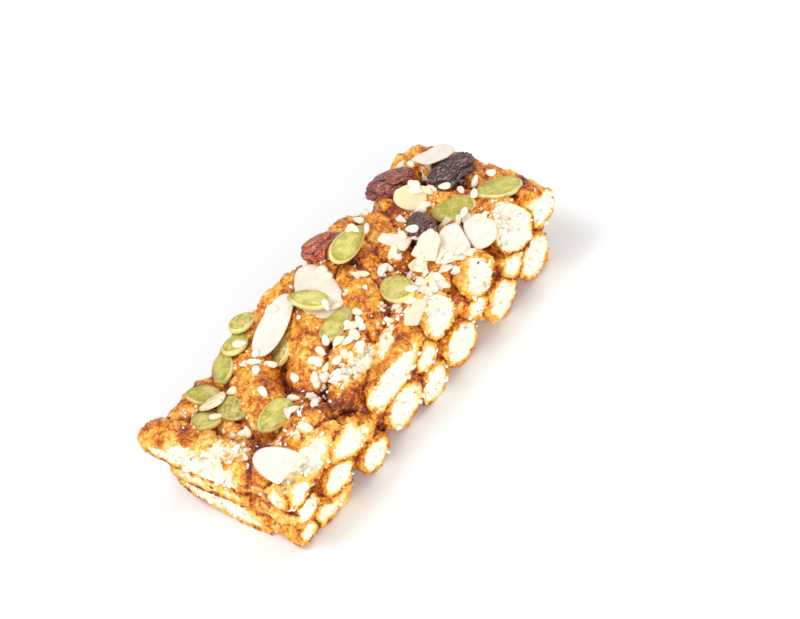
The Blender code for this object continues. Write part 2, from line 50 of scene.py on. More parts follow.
# Sticks of the top layer: along, across, height of the middle, turn, pitch, length, radius
TOP_STICKS = (
    (-51.6, 8.6, 17.4, 92, 1, 36, 5.6),
    (-50.3, -15.5, 16.4, 82, 0, 24, 5.4),
    (-41.5, 11.0, 14.0, 96, 0, 22, 4.6),
    (-30.0, 8.0, 17.0, 50, 0, 31, 6.4),
    (-15.0, 4.0, 17.2, 42, 2, 29, 5.8),
    (-38.0, -11.4, 17.0, 10, 0, 22, 5.4),
    (-45.0, -17.4, 17.6, 3, 0, 28, 4.6),
    (-9.0, -17.6, 16.6, 27, 0, 35, 6.0),
    (-17.0, -11.8, 17.4, 9, 0, 21, 4.6),
    (-10.0, -5.0, 17.0, 22, 0, 21, 5.3),
    (4.0, 1.0, 17.2, 52, 0, 31, 5.6),
    (14.5, 8.0, 17.0, 60, 0, 20, 5.2),
    (24.5, 9.5, 17.1, 58, 0, 23, 5.5),
    (33.5, 11.0, 17.2, 52, 2, 27, 5.6),
    (52.3, 3.4, 17.3, 88, 0, 41, 6.0),
    (-7.5, 20.4, 17.8, 10, 0, 31, 5.4),
    (-25.0, 19.6, 16.4, 30, 0, 20, 5.1),
    (-41.0, 19.8, 15.4, 8, 0, 21, 4.8),
    (22.5, -7.5, 16.0, 18, 0, 30, 5.6),
    (41.0, -15.5, 17.4, 76, 0, 24, 6.6),
    (8.3, -16.0, 17.2, 80, 0, 21, 6.0),
    (24.3, -17.5, 15.8, 62, 0, 20, 5.8),
    (51.4, -17.0, 16.2, 84, 0, 20, 6.0),
    (15.5, 19.4, 16.8, 18, 0, 27, 5.5),
    (42.0, 0.5, 16.6, 102, 0, 23, 5.3),
    (42.5, 17.6, 16.6, 20, 0, 25, 5.4),
    (0.5, 10.0, 14.6, 66, 0, 20, 4.8),
    (-22.0, -3.0, 14.4, 0, 0, 24, 5.0),
    (10.5, -4.6, 16.2, 66, 0, 19, 5.0),
)

# Sticks below them: their cut ends show on the two long sides, and some lie along the two ends
LOWER_STICKS = (
    (-53.0, 5.0, 11.0, 90, 0, 25, 3.9),
    (-51.0, 3.6, 5.0, 89, 8, 30, 5.8),
    (-50.0, -13.5, 10.8, 86, 0, 25, 5.0),
    (-50.5, -14.5, 3.4, 84, 0, 23, 3.9),
    (-42.5, -18.0, 3.8, 4, 0, 16, 4.4),
    (-38.5, -15.0, 8.8, 92, 0, 27, 5.8),
    (-28.5, -17.4, 13.0, 30, -20, 26, 5.4),
    (-12.4, -14.5, 6.4, 98, 0, 29, 7.0),
    (-1.0, -14.0, 4.6, 86, 2, 28, 6.2),
    (12.0, -13.5, 6.2, 84, 0, 28, 7.0),
    (28.0, -14.0, 5.9, 95, 0, 27, 6.6),
    (43.8, -13.5, 6.5, 88, 0, 28, 7.2),
    (-26.0, -14.5, 4.6, 88, 0, 25, 5.6),
    (0.5, -15.0, 13.0, 72, 0, 24, 4.6),
    (18.5, -15.0, 12.0, 100, 0, 25, 4.8),
    (35.8, -15.0, 11.0, 84, 0, 25, 4.9),
    (0.5, 0.2, 4.6, 4, 0, 28, 6.2),
    (-33.0, 15.0, 11.0, 86, 0, 24, 4.7),
    (-20.5, 15.0, 11.4, 95, 0, 24, 4.5),
    (-8.0, 15.5, 11.2, 84, 0, 24, 4.9),
    (5.0, 15.0, 11.5, 92, 0, 24, 4.6),
    (17.0, 15.0, 11.2, 98, 0, 24, 4.7),
    (29.5, 15.0, 11.4, 86, 0, 24, 4.8),
    (42.5, 15.0, 10.8, 92, 0, 24, 4.7),
    (51.8, 2.0, 10.4, 90, 0, 40, 4.6),
)

# The hidden lower sticks lie in a row across the bar's left half, one every pitch
LEFT_ROW_START = -39.5
LEFT_ROW_PITCH = 12.5
LEFT_ROW_COUNT = 8
LEFT_ROW_ACROSS = 12.5
LEFT_ROW_HEIGHT = 5.0
LEFT_ROW_LENGTH = 30.0
LEFT_ROW_RADIUS = 6.1
# Between which values each one's along, across, height, turn and radius stray
LEFT_ROW_SCATTER = ((-1.2, 1.2), (-1.5, 1.5), (-0.5, 1.2), (-14.0, 14.0), (-0.5, 0.5))

# The solid middle of pressed grain and syrup
CORE_INSET = 2.4
CORE_BOTTOM = 4.6
CORE_TOP = 17.2

# Places on top where a stick's skin is torn off its crumb: along, across, height, and the
# half sizes of the torn hollow
TEARS = (
    (-11.6, -12.2, 22.4, 10.0, 4.0, 3.0),
    (-51.4, -2.5, 22.9, 3.6, 7.0, 2.0),
    (-58.6, 1.5, 21.6, 5.2, 15.0, 3.2),
    (-60.2, 3.0, 17.0, 5.4, 17.0, 3.6),
    (-60.2, 2.0, 5.6, 5.4, 13.0, 3.4),
    (-46.0, -21.6, 23.4, 10.5, 6.6, 5.2),
    (-27.5, -22.6, 22.0, 7.0, 5.6, 4.4),
    (42.0, -21.0, 24.4, 7.5, 7.4, 5.4),
    (-37.5, -13.4, 22.8, 4.0, 2.8, 1.9),
    (9.5, -21.6, 23.6, 6.5, 6.6, 4.8),
    (26.0, -21.6, 22.4, 6.5, 5.4, 4.2),
    (33.5, -22.0, 20.6, 4.5, 4.4, 3.6),
)

# Scorched patches of the crust: along, across and radius
SCORCHED = (
    (-30.7, 2.7, 4.0),
    (-30.7, -8.3, 4.6),
    (-27.7, -16.7, 3.6),
    (-53.3, 19.3, 4.4),
    (-14.4, 0.1, 3.4),
    (16.9, 7.6, 3.4),
    (-26.3, -4.2, 3.2),
    (-2.3, -13.0, 3.4),
    (1.9, -6.8, 3.0),
    (-40.9, -12.7, 3.2),
    (30.4, 9.7, 3.2),
    (-52.0, 9.0, 2.6),
)

# How much deeper a torn place counts than it lies, in mm
TORN_LIGHTER = 1.6

# How far from a cut or a torn place the crust is paler, in mm
EDGE_REACH = 3.0

# The sampled field: its step, its box round the bar, and how many steps the syrup's takes at once
STEP = 0.43
FIELD_LOW = (-58.2, -23.6, -1.4)
FIELD_COUNTS = (280, 120, 66)
SYRUP_STRIDE = 2
# The greatest distance that counts, and the least volume of a part that is kept, in mm^3
FAR_OFF = 4.0
SMALLEST_PART = 20.0

# The relief's wavelengths, and how high each stands on the crust
LUMPS, GRAIN, PITS, TATTER = 5.5, 1.5, 1.0, 2.6
LUMP_HEIGHT, GRAIN_HEIGHT, PIT_HEIGHT = 0.34, 0.15, 0.08

# How rough the knife cuts and the torn hollows are, and how softly neighbouring sticks join
CUT_TATTER, CUT_PITS, CUT_PIT_LEVEL = 0.26, 0.5, 0.2
TEAR_TATTER, TEAR_PITS = 0.45, 0.15
STICK_BLEND = 0.5

# The syrup: how softly it joins the sticks, how far it stands back, and its own relief
SYRUP_BLEND = 2.4
SYRUP_BACK = 0.5
SYRUP_OVERLAP = 0.4
SYRUP_LUMPS, SYRUP_GRAIN, SYRUP_TATTER = 0.3, 0.2, 0.35

# A point counts as torn within so many half sizes of a torn place, and its crust as pale within
# so many. Both fade at a slope, and a torn point lies at least so deep in its stick
TORN_WITHIN, TORN_SLOPE, TORN_DEPTH = 1.35, 3, 0.25
PALE_WITHIN, PALE_SLOPE = 1.7, 1.8

# Between which heights the crust starts to be pale by the cuts, and to be scorched
PALE_HEIGHTS = (15, 20)
SCORCH_HEIGHTS = (8, 14)

# How far round a stick, and round a bed's sticks, the field is worked out or looked up
SKIN_MARGIN, BED_MARGIN, FACT_MARGIN = 1.6, 2.0, 3.0


# Sticks

def all_sticks():
    """Every stick with its own axes, size, bend and cuts, by the bar's seeded rule."""
    draw = random.Random(SEED)
    rows = [("upper", *row) for row in TOP_STICKS] + [("lower", *row) for row in LOWER_STICKS]
    for i in range(LEFT_ROW_COUNT):
        along, across, height, turn, radius = (draw.uniform(*span) for span in LEFT_ROW_SCATTER)
        place = (
            LEFT_ROW_START + i * LEFT_ROW_PITCH + along,
            LEFT_ROW_ACROSS + across,
            LEFT_ROW_HEIGHT + height,
        )
        rows.append(("lower", *place, 90 + turn, 0, LEFT_ROW_LENGTH, LEFT_ROW_RADIUS + radius))
    sticks = []
    for bed, along, across, height, turn, pitch, length, radius in rows:
        heading, rise = math.radians(turn), math.radians(pitch)
        c, s, cr, sr = math.cos(heading), math.sin(heading), math.cos(rise), math.sin(rise)
        stick = {
            "bed": bed + ("_near" if along < 0 else "_far"),
            "middle": np.array((along, across, height)),
            "axes": np.array(((c * cr, s * cr, sr), (-s, c, 0), (-c * sr, -s * sr, cr))),
            "half": length / 2,
            "radius": radius,
            "bend": draw.uniform(-STICK_BEND, STICK_BEND),
            "cuts": [draw.uniform(-CUT_SCATTER, CUT_SCATTER) for _ in range(4)],
            "seed": draw.randrange(1 << 30),
        }
        sticks.append(stick)
    return sticks


def stick_distance(stick, x, y, z):
    """Distance to a stick's smooth skin, less than 0 inside: with s the share along it and p the
    share out from its bent middle line, the skin is s^3 + p^3 = 1, and its slope turns the
    left side into a distance."""
    mx, my, mz = stick["middle"]
    (ax, ay, az), (bx, by, bz), (cx, cy, cz) = stick["axes"]
    x, y, z = x - mx, y - my, z - mz
    along = (x * ax + y * ay + z * az) / stick["half"]
    beside = x * bx + y * by + z * bz - stick["bend"] * (along * along - 1 / 3)
    above = (x * cx + y * cy + z * cz) / STICK_FLATTEN
    out = np.sqrt(beside * beside + above * above) / stick["radius"]
    a, b = np.abs(along) ** STICK_END_POWER, out ** STICK_END_POWER
    total = np.maximum(a + b, 1e-6)
    slope = np.sqrt(
        (a / total) ** (4 / 3) / stick["half"] ** 2 + (b / total) ** (4 / 3) / stick["radius"] ** 2
    )
    return (total ** (1 / STICK_END_POWER) - 1) / np.maximum(slope, 1e-3)


def beyond_cuts(stick, x, y):
    """How far a point lies beyond the nearest of the stick's four knife cuts."""
    near, far, right, left = stick["cuts"]
    ends = np.maximum(NEAR_CUT + near - x, x - FAR_CUT - far)
    return np.maximum(ends, np.maximum(RIGHT_CUT + right - y, y - LEFT_CUT - left))


# The sampled field

class Field:
    """The grid round the bar, and the random relief that its skins share."""

    def __init__(self):
        self.x, self.y, self.z = (
            FIELD_LOW[i] + STEP * np.arange(FIELD_COUNTS[i]) for i in range(3)
        )
        waves = (LUMPS, GRAIN, PITS, TATTER)
        noises = [self.noise(wave, 1 + i) for i, wave in enumerate(waves)]
        self.lumps, self.grain, self.pits, self.tatter = noises

    def noise(self, wave, seed):
        """Random relief of one wavelength: white noise, kept near one ring of frequencies."""
        white = np.random.default_rng(SEED + seed).standard_normal(FIELD_COUNTS)
        spectrum = np.fft.rfftn(white)
        fx, fy = (np.fft.fftfreq(FIELD_COUNTS[i], STEP) for i in (0, 1))
        fz = np.fft.rfftfreq(FIELD_COUNTS[2], STEP)
        ring = np.sqrt(fx[:, None, None] ** 2 + fy[None, :, None] ** 2 + fz[None, None, :] ** 2)
        spectrum *= np.exp(-0.5 * ((ring * wave - 1) / 0.4) ** 2)
        noise = np.fft.irfftn(spectrum, FIELD_COUNTS)
        return (noise / noise.std()).astype(np.float32)

    def part(self, low, high):
        """The slices of the grid between two corners."""
        cut = []
        for i in range(3):
            first = math.floor((low[i] - FIELD_LOW[i]) / STEP)
            last = math.ceil((high[i] - FIELD_LOW[i]) / STEP) + 1
            cut.append(slice(max(first, 0), min(last, FIELD_COUNTS[i])))
        return tuple(cut)

    def at(self, cut):
        """The places in some slices of the grid, ready to broadcast."""
        return (
            self.x[cut[0]][:, None, None],
            self.y[cut[1]][None, :, None],
            self.z[cut[2]][None, None, :],
        )

    def sample(self, grid, points):
        """A grid's value at each point, by the weighted mean of its 8 neighbours."""
        places = (points - np.array(FIELD_LOW)) / STEP
        places = np.clip(places, 0, np.array(FIELD_COUNTS) - 1.001)
        base = places.astype(np.int32)
        share = places - base
        total = np.zeros(len(points))
        for i in (0, 1):
            for j in (0, 1):
                for k in (0, 1):
                    weight = np.ones(len(points))
                    for axis, step in enumerate((i, j, k)):
                        weight *= share[:, axis] if step else 1 - share[:, axis]
                    total += weight * grid[base[:, 0] + i, base[:, 1] + j, base[:, 2] + k]
        return total


def smooth_least(a, b, width):
    """The lesser of two distances, blended where they differ by less than width."""
    blend = np.maximum(width - np.abs(a - b), 0) / width
    return np.minimum(a, b) - blend * blend * width / 4


def stick_box(stick, margin):
    """The corners of the box round a stick."""
    reach = np.abs(stick["axes"][0]) * stick["half"] + stick["radius"] * 0.8 + STICK_BEND + margin
    return stick["middle"] - reach, stick["middle"] + reach


def bed_skin(field, sticks):
    """The field of one bed of sticks: each is its smooth skin with lumps and a sugary grain on it,
    cut by its knife planes, whose faces are torn and pitted, and the least of them counts."""
    skin = np.full(FIELD_COUNTS, FAR_OFF, np.float32)
    for stick in sticks:
        cut = field.part(*stick_box(stick, SKIN_MARGIN))
        x, y, z = field.at(cut)
        smooth = stick_distance(stick, x, y, z)
        shift = stick["seed"] % 40
        tatter = np.roll(field.tatter, shift, 0)[cut]
        crust = smooth - LUMP_HEIGHT * field.lumps[cut] - GRAIN_HEIGHT * field.grain[cut]
        crust = crust - PIT_HEIGHT * field.pits[cut]
        rough = CUT_TATTER * tatter + CUT_PITS * np.maximum(field.pits[cut] - CUT_PIT_LEVEL, 0)
        face = beyond_cuts(stick, x, y) + rough * np.clip(-smooth * 1.2, 0.15, 1)
        skin[cut] = smooth_least(skin[cut], np.maximum(crust, face), STICK_BLEND)
    for tear in TEARS:
        middle, half = np.array(tear[:3]), np.array(tear[3:])
        cut = field.part(middle - half - 2, middle + half + 2)
        skin[cut] = np.maximum(skin[cut], -torn_hollow(field, cut, tear))
    return skin


def torn_hollow(field, cut, tear):
    """The field of one torn place, less than 0 in its hollow: an ellipsoid with ragged walls."""
    along, across, height, half_x, half_y, half_z = tear
    x, y, z = field.at(cut)
    share = np.sqrt(
        ((x - along) / half_x) ** 2 + ((y - across) / half_y) ** 2 + ((z - height) / half_z) ** 2
    )
    hollow = (share - 1) * min(half_x, half_y, half_z)
    return hollow + TEAR_TATTER * field.tatter[cut] + TEAR_PITS * field.pits[cut]


def syrup_skin(field, sticks):
    """The field of the syrup: the sticks and the pressed middle, blended far more softly and shrunk
    a little, less the sticks themselves, so that it fills only the gaps. It stands back from the
    knife cuts and from the torn places."""
    coarse = tuple(slice(0, count, SYRUP_STRIDE) for count in FIELD_COUNTS)
    x, y, z = field.at(coarse)
    ends = np.maximum(NEAR_CUT - x, x - FAR_CUT)
    sides = np.maximum(RIGHT_CUT - y, y - LEFT_CUT)
    outside = np.maximum(ends, sides)
    core = np.maximum(outside + CORE_INSET, np.maximum(CORE_BOTTOM - z, z - CORE_TOP + 1.0))
    skin = core
    nearest = np.full(skin.shape, FAR_OFF)
    for stick in sticks:
        smooth = np.minimum(stick_distance(stick, x, y, z), FAR_OFF)
        nearest = np.minimum(nearest, smooth)
        skin = smooth_least(skin, smooth, SYRUP_BLEND)
    skin = skin + SYRUP_BACK - SYRUP_LUMPS * field.lumps[coarse]
    skin = skin - SYRUP_GRAIN * field.grain[coarse]
    skin = np.maximum(skin, -nearest - SYRUP_OVERLAP)
    skin = np.maximum(skin, outside + SYRUP_BACK - SYRUP_TATTER * field.tatter[coarse])
    for tear in TEARS:
        skin = np.maximum(skin, SYRUP_BACK - torn_hollow(field, coarse, tear))
    return np.maximum(skin, SYRUP_BACK - z)


def surface_net(skin, low, step):
    """The zero surface of a sampled field: one point in each cell that it crosses, at the mean of
    the crossings on the cell's edges, and one four-sided face round each crossed grid edge."""
    inside = skin < 0
    size = np.array(skin.shape)
    corners = [(i, j, k) for i in (0, 1) for j in (0, 1) for k in (0, 1)]
    count = np.zeros(size - 1, np.int8)
    for i, j, k in corners:
        count += inside[i : size[0] - 1 + i, j : size[1] - 1 + j, k : size[2] - 1 + k]
    crossed = (count > 0) & (count < 8)
    cells = np.argwhere(crossed)
    number = np.full(crossed.shape, -1, np.int32)
    number[crossed] = np.arange(len(cells))
    values = {c: skin[tuple((cells + np.array(c)).T)] for c in corners}
    total = np.zeros((len(cells), 3))
    crossings = np.zeros(len(cells))
    for first in corners:
        for axis in range(3):
            if first[axis]:
                continue
            second = tuple(v + (n == axis) for n, v in enumerate(first))
            a, b = values[first], values[second]
            meets = (a < 0) != (b < 0)
            share = np.where(meets, a / np.where(meets, a - b, 1), 0)
            total += meets[:, None] * np.array(first)
            total[:, axis] += share
            crossings += meets
    points = np.array(low) + step * (cells + total / crossings[:, None])
    faces = []
    for axis in range(3):
        one, two = (axis + 1) % 3, (axis + 2) % 3
        lower = np.moveaxis(inside, axis, 0)[:-1]
        upper = np.moveaxis(inside, axis, 0)[1:]
        edges = np.moveaxis(lower != upper, 0, axis)
        starts = np.moveaxis(lower, 0, axis)
        spots = np.argwhere(edges)
        kept = (spots[:, one] > 0) & (spots[:, two] > 0)
        kept &= (spots[:, one] < size[one] - 1) & (spots[:, two] < size[two] - 1)
        spots = spots[kept]
        outward = starts[tuple(spots.T)]
        step_one, step_two = np.eye(3, dtype=int)[one], np.eye(3, dtype=int)[two]
        ring = [spots - step_one - step_two, spots - step_two, spots, spots - step_one]
        quads = np.stack([number[tuple(corner.T)] for corner in ring], axis=1)
        quads[~outward] = quads[~outward][:, ::-1]
        faces.append(quads)
    return points, np.concatenate(faces)


def sound_parts(points, quads):
    """Drops crumbs that float free and sealed hollows: joined parts of too little volume. Labels
    spread along the edges, each point taking the least label next to it, until none changes."""
    label = np.arange(len(points))
    ends = np.concatenate([quads, np.roll(quads, 1, axis=1)], axis=0).reshape(-1)
    starts = np.concatenate([np.roll(quads, 1, axis=1), quads], axis=0).reshape(-1)
    while True:
        least = label.copy()
        np.minimum.at(least, ends, label[starts])
        least = least[least]
        if np.array_equal(least, label):
            break
        label = least
    a, b, c, d = (points[quads[:, i]] for i in range(4))
    volume = np.einsum("ij,ij->i", a, np.cross(b, c) + np.cross(c, d)) / 6
    part_volume = np.zeros(len(points))
    np.add.at(part_volume, label[quads[:, 0]], volume)
    quads = quads[part_volume[label[quads[:, 0]]] > SMALLEST_PART]
    used = np.zeros(len(points), bool)
    used[quads.reshape(-1)] = True
    renumber = np.cumsum(used) - 1
    return points[used], renumber[quads]


def tear_share(points):
    """How far each point lies from the nearest torn place's middle, as a share of its size."""
    shares = [np.linalg.norm((points - tear[:3]) / tear[3:], axis=1) for tear in TEARS]
    return np.min(shares, axis=0)


def height_share(points, low, high):
    """Where each point lies between two heights, from 0 to 1."""
    return np.clip((points[:, 2] - low) / (high - low), 0, 1)


def stick_facts(sticks, points):
    """For each point: how deep it lies in the stick that holds it best, how much better that one
    holds it than the next, and which stick it is."""
    best = np.full(len(points), FAR_OFF)
    second = np.full(len(points), FAR_OFF)
    owner = np.zeros(len(points), int)
    for number, stick in enumerate(sticks):
        low, high = stick_box(stick, FACT_MARGIN)
        near = np.nonzero(np.all((points > low) & (points < high), axis=1))[0]
        if not len(near):
            continue
        distance = stick_distance(stick, *points[near].T)
        closer = distance < best[near]
        pushed = np.where(closer, best[near], np.minimum(distance, second[near]))
        second[near] = pushed
        best[near] = np.where(closer, distance, best[near])
        owner[near] = np.where(closer, number, owner[near])
    torn = np.clip((TORN_WITHIN - tear_share(points)) * TORN_SLOPE, 0, 1)
    torn = TORN_LIGHTER * torn * (best < -TORN_DEPTH)
    return torn - best, second - best + torn, owner


def cut_nearness(sticks, owner, points):
    """How near the crust on top is to the near or right knife cut or to a torn place, from 1
    down to 0."""
    near, _, right, _ = np.array([stick["cuts"] for stick in sticks])[owner].T
    beyond = np.maximum(NEAR_CUT + near - points[:, 0], RIGHT_CUT + right - points[:, 1])
    nearness = np.clip(1 + beyond / EDGE_REACH, 0, 1)
    pale = np.clip((PALE_WITHIN - tear_share(points)) * PALE_SLOPE, 0, 1)
    return np.maximum(nearness, pale) * height_share(points, *PALE_HEIGHTS)


# Meshes

def read(parts, name, width=1, kind=np.float32):
    """One property of a mesh's points or corners, as an array."""
    values = np.empty(len(parts) * width, kind)
    parts.foreach_get(name, values)
    return values.reshape(-1, width) if width > 1 else values


def mesh_object(name, points, faces, facts, finish):
    """An object with a mesh of mm points and equal-sided faces, smooth, with point attributes."""
    mesh = bpy.data.meshes.new(name)
    points, faces = np.asarray(points, np.float32), np.asarray(faces, np.int32)
    sides = faces.shape[1]
    mesh.vertices.add(len(points))
    mesh.vertices.foreach_set("co", (points * MM).ravel())
    mesh.loops.add(faces.size)
    mesh.loops.foreach_set("vertex_index", faces.ravel())
    mesh.polygons.add(len(faces))
    mesh.polygons.foreach_set("loop_start", np.arange(0, faces.size, sides, dtype=np.int32))
    mesh.polygons.foreach_set("use_smooth", np.ones(len(faces), bool))
    mesh.update(calc_edges=True)
    for fact, values in facts.items():
        values = np.asarray(values, np.float32)
        if values.ndim == 1:
            mesh.attributes.new(fact, "FLOAT", "POINT").data.foreach_set("value", values)
        else:
            made = mesh.attributes.new(fact, "FLOAT_VECTOR", "POINT")
            made.data.foreach_set("vector", values.ravel())
    mesh.validate()
    mesh.materials.append(finish)
    obj = bpy.data.objects.new(name, mesh)
    bpy.context.scene.collection.objects.link(obj)
    return obj


def scorched(points):
    """How scorched the crust is: the sum of a bell curve round each patch, seen from above."""
    total = np.zeros(len(points))
    for along, across, radius in SCORCHED:
        apart = (points[:, 0] - along) ** 2 + (points[:, 1] - across) ** 2
        total += np.exp(-apart / radius**2)
    return total * height_share(points, *SCORCH_HEIGHTS)


def grain_beds(field, sticks, finish):
    """The sticks' skins, as one piece for each bed, and what the crumb's colours need to know."""
    made = []
    for bed in ("upper_near", "upper_far", "lower_near", "lower_far"):
        own = [stick for stick in sticks if stick["bed"] == bed]
        lows, highs = zip(*(stick_box(stick, BED_MARGIN) for stick in own))
        cut = field.part(np.min(lows, axis=0), np.max(highs, axis=0))
        skin = bed_skin(field, own)[cut]
        low = [axis[span.start] for axis, span in zip((field.x, field.y, field.z), cut)]
        points, quads = sound_parts(*surface_net(skin, low, STEP))
        points[:, 2] = np.maximum(points[:, 2], 0.0)
        depth, lead, owner = stick_facts(sticks, points)
        tone = np.array([(stick["seed"] % 1000) / 1000 for stick in sticks])[owner]
        facts = {
            "depth": depth,
            "lead": lead,
            "tone": tone,
            "scorch": scorched(points),
            "edge": cut_nearness(sticks, owner, points),
            # The pits' relief, which sets the painted warm glow in the crumb's pits
            "pit_glow": field.sample(field.pits, points),
        }
        made.append(mesh_object("puffed_grain_" + bed, points, quads, facts, finish))
    return made


def syrup_bed(field, sticks, finish):
    """The syrup as one piece, from a coarser grid than the sticks'."""
    skin = syrup_skin(field, sticks)
    points, quads = sound_parts(*surface_net(skin, FIELD_LOW, STEP * SYRUP_STRIDE))
    return mesh_object("brown_syrup", points, quads, {}, finish)


# Toppings

# Pumpkin seeds: points round the outline, the rings' shares of it, how pointed the tip is, how
# thick a seed is, how high its rim stands, and how deep its grooves are
PUMPKIN_SPOKES = 56
PUMPKIN_SHARES = (0.14, 0.3, 0.46, 0.6, 0.71, 0.79, 0.84, 0.88, 0.92, 0.96, 0.99, 1.0)
PUMPKIN_TIP = 0.32
PUMPKIN_THICKNESS = 2.2
PUMPKIN_RIM = 0.09
PUMPKIN_GROOVE = 0.03
# How pale each seed is, and how much fine crumb sticks to it
PUMPKIN_TONES = (0.3, 0.75, 0.0, 0.3, 0.5, 0.75, 0.5, 0.6, 0.9, 0.55, 0.65, 0.85, 0.45, 0.6)
PUMPKIN_DUST = (0.9, 0.1, 0.4, 0.2, 0.1, 0.1, 0.6, 0.3, 0.1, 0.2, 0.1, 0.5, 0.1, 0.1)
# Almond: how thick flakes and chips are, how square, wavy and tapered their outline is, and its
# points and rings
ALMOND_THICKNESS = 0.62
CHIP_THICKNESS = 0.55
FLAKE_POWER, FLAKE_WAVE, FLAKE_TAPER = 2.3, 0.03, 0.16
ALMOND_SPOKES = 64
ALMOND_SHARES = (0.2, 0.4, 0.6, 0.76, 0.88, 0.95, 0.985, 1.0)
# The share of its half length at which each almond flake's narrow end is broken off
ALMOND_BREAKS = (1.0, 1.0, 0.45, 0.3, 0.7, 0.7, 0.6, 0.7, 0.5, 0.6)
# How yellow each flake is
ALMOND_TONES = (0.2, 0.1, 0.1, 1.0, 0.15, 0.3, 0.1, 0.2, 0.4, 0.6)
# How wide each flake is, as a share of its solid's width
ALMOND_TRIMS = (1.0, 0.82, 0.95, 1.0, 1.5, 1.0, 1.0, 1.0, 1.0, 1.0)
# A break so far from the middle that it takes nothing off
NO_BREAK = 2.0
# The flake whose wide end is the broken one
ALMOND_WIDE_BREAK = 2
# How far each flake lies above its solid's middle, in mm, clear of the crust's lumps
ALMOND_LIFTS = (0.15, 0.1, 0.7, 0.1, 0.0, 0.3, 0.2, 0.2, 0.2, 0.3)
# Raisins: rings and points, how far each has sunk, and its radius before the folds come off it
RAISIN_RINGS = 72
RAISIN_SPOKES = 96
RAISIN_SLUMP = 0.84
RAISIN_SWELL = 1.12
# The raisins' folds: how many waves, how many of them to a length, how deep and how sharp
RAISIN_FOLDS = ((7, 2.4, 0.32, 2.8), (9, 5.4, 0.2, 2.8), (9, 11.0, 0.07, 2.4))
# How red each raisin is
RAISIN_TONES = (0.95, 0.5, 0.1, 0.3)
# Sesame: a seed's sizes, how much it narrows, and how far a group spreads
SESAME_LENGTH = 3.3
SESAME_WIDTH = 2.0
SESAME_THICKNESS = 1.15
SESAME_TAPER = 0.3
SESAME_SPREAD = 1.9
SESAME_RINGS, SESAME_SPOKES = 9, 14


def node_frames(names):
    """Middle, axes (long, wide, up) and sizes of some solid nodes, from the spread of their
    corners. The long axis points to the end where they are narrower."""
    middles, axes, sizes = [], [], []
    for name in names:
        points = read(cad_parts[name].data.vertices, "co", 3, float) / MM
        points = np.unique(np.round(points, 3), axis=0)
        spread = np.linalg.eigh(np.cov((points - points.mean(axis=0)).T))[1].T[::-1]
        up = spread[2] * np.sign(spread[2][2])
        local = (points - points.mean(axis=0)) @ spread.T
        long = -spread[0] * np.sign(np.sum(local[:, 0] * local[:, 1] ** 2))
        turned = np.array((long, np.cross(up, long), up))
        local = points @ turned.T
        low, high = local.min(axis=0), local.max(axis=0)
        middles.append(((low + high) / 2) @ turned)
        axes.append(turned)
        sizes.append(high - low)
    return np.array(middles), np.array(axes), np.array(sizes)


def unit_ball(rings, spokes):
    """Points of a ball of radius 1, in rings round its first axis."""
    polar = math.pi * (np.arange(rings) + 0.5) / rings
    angle = 2 * math.pi * np.arange(spokes) / spokes
    along, girth = -np.cos(polar)[:, None], np.sin(polar)[:, None]
    both = np.broadcast_arrays(along, girth * np.cos(angle), girth * np.sin(angle))
    return np.stack(both, axis=-1)


def ball_faces(rings, spokes):
    """Triangles of a closed grid: rings of points from pole to pole, then the two poles."""
    ring, spoke = np.meshgrid(np.arange(rings - 1), np.arange(spokes), indexing="ij")
    a = (ring * spokes + spoke).ravel()
    b = (ring * spokes + (spoke + 1) % spokes).ravel()
    c, d = b + spokes, a + spokes
    walls = np.concatenate([np.stack([a, b, c], 1), np.stack([a, c, d], 1)])
    spoke = np.arange(spokes)
    turn = (spoke + 1) % spokes
    first = np.stack([np.full(spokes, rings * spokes), turn, spoke], 1)
    last = (rings - 1) * spokes
    second = np.stack([np.full(spokes, rings * spokes + 1), last + spoke, last + turn], 1)
    return np.concatenate([walls, first, second])


def with_poles(grid):
    """A (things, rings, spokes, 3) grid as points, with each end closed by its ring's middle."""
    things = grid.shape[0]
    first, last = grid[:, 0].mean(axis=1), grid[:, -1].mean(axis=1)
    return np.concatenate([grid.reshape(things, -1, 3), first[:, None], last[:, None]], axis=1)


def face_rings(shares):
    """The rings of a thin thing, out from the middle of its lower face and back on the upper one:
    each ring's share of the outline, and -1 below, 0 on the rim and 1 above."""
    side = np.concatenate([np.full(len(shares) - 1, -1.0), np.ones(len(shares))])
    side[len(shares) - 1] = 0
    return np.array(shares[:-1] + shares[::-1]), side


def over_outline(half, share, x, y):
    """A (things, rings, spokes, 3) grid of points: an outline scaled by each ring's share and each
    thing's half sizes."""
    grid = np.zeros((len(half), len(share), x.shape[-1], 3))
    grid[..., 0] = half[:, 0, None, None] * share[None, :, None] * x
    grid[..., 1] = half[:, 1, None, None] * share[None, :, None] * y
    return grid


def within(grid, half):
    """Where each point lies along and across its own thing, from -1 to 1."""
    return grid[..., 0] / half[:, 0, None, None], grid[..., 1] / half[:, 1, None, None]


def joined(name, local, middles, axes, faces, facts, finish):
    """One object of many things: each one's own points turned and moved to its place. Each point
    keeps its place on its own thing and the thing's tone."""
    things, count = local.shape[:2]
    world = np.einsum("tpi,tij->tpj", local, axes) + middles[:, None]
    all_faces = (faces[None] + (np.arange(things) * count)[:, None, None]).reshape(-1, 3)
    kept = {"own_place": local.reshape(-1, 3)}
    for fact, values in facts.items():
        kept[fact] = np.repeat(values, count) if values.ndim == 1 else values.reshape(-1)
    return mesh_object(name, world.reshape(-1, 3), all_faces, kept, finish)


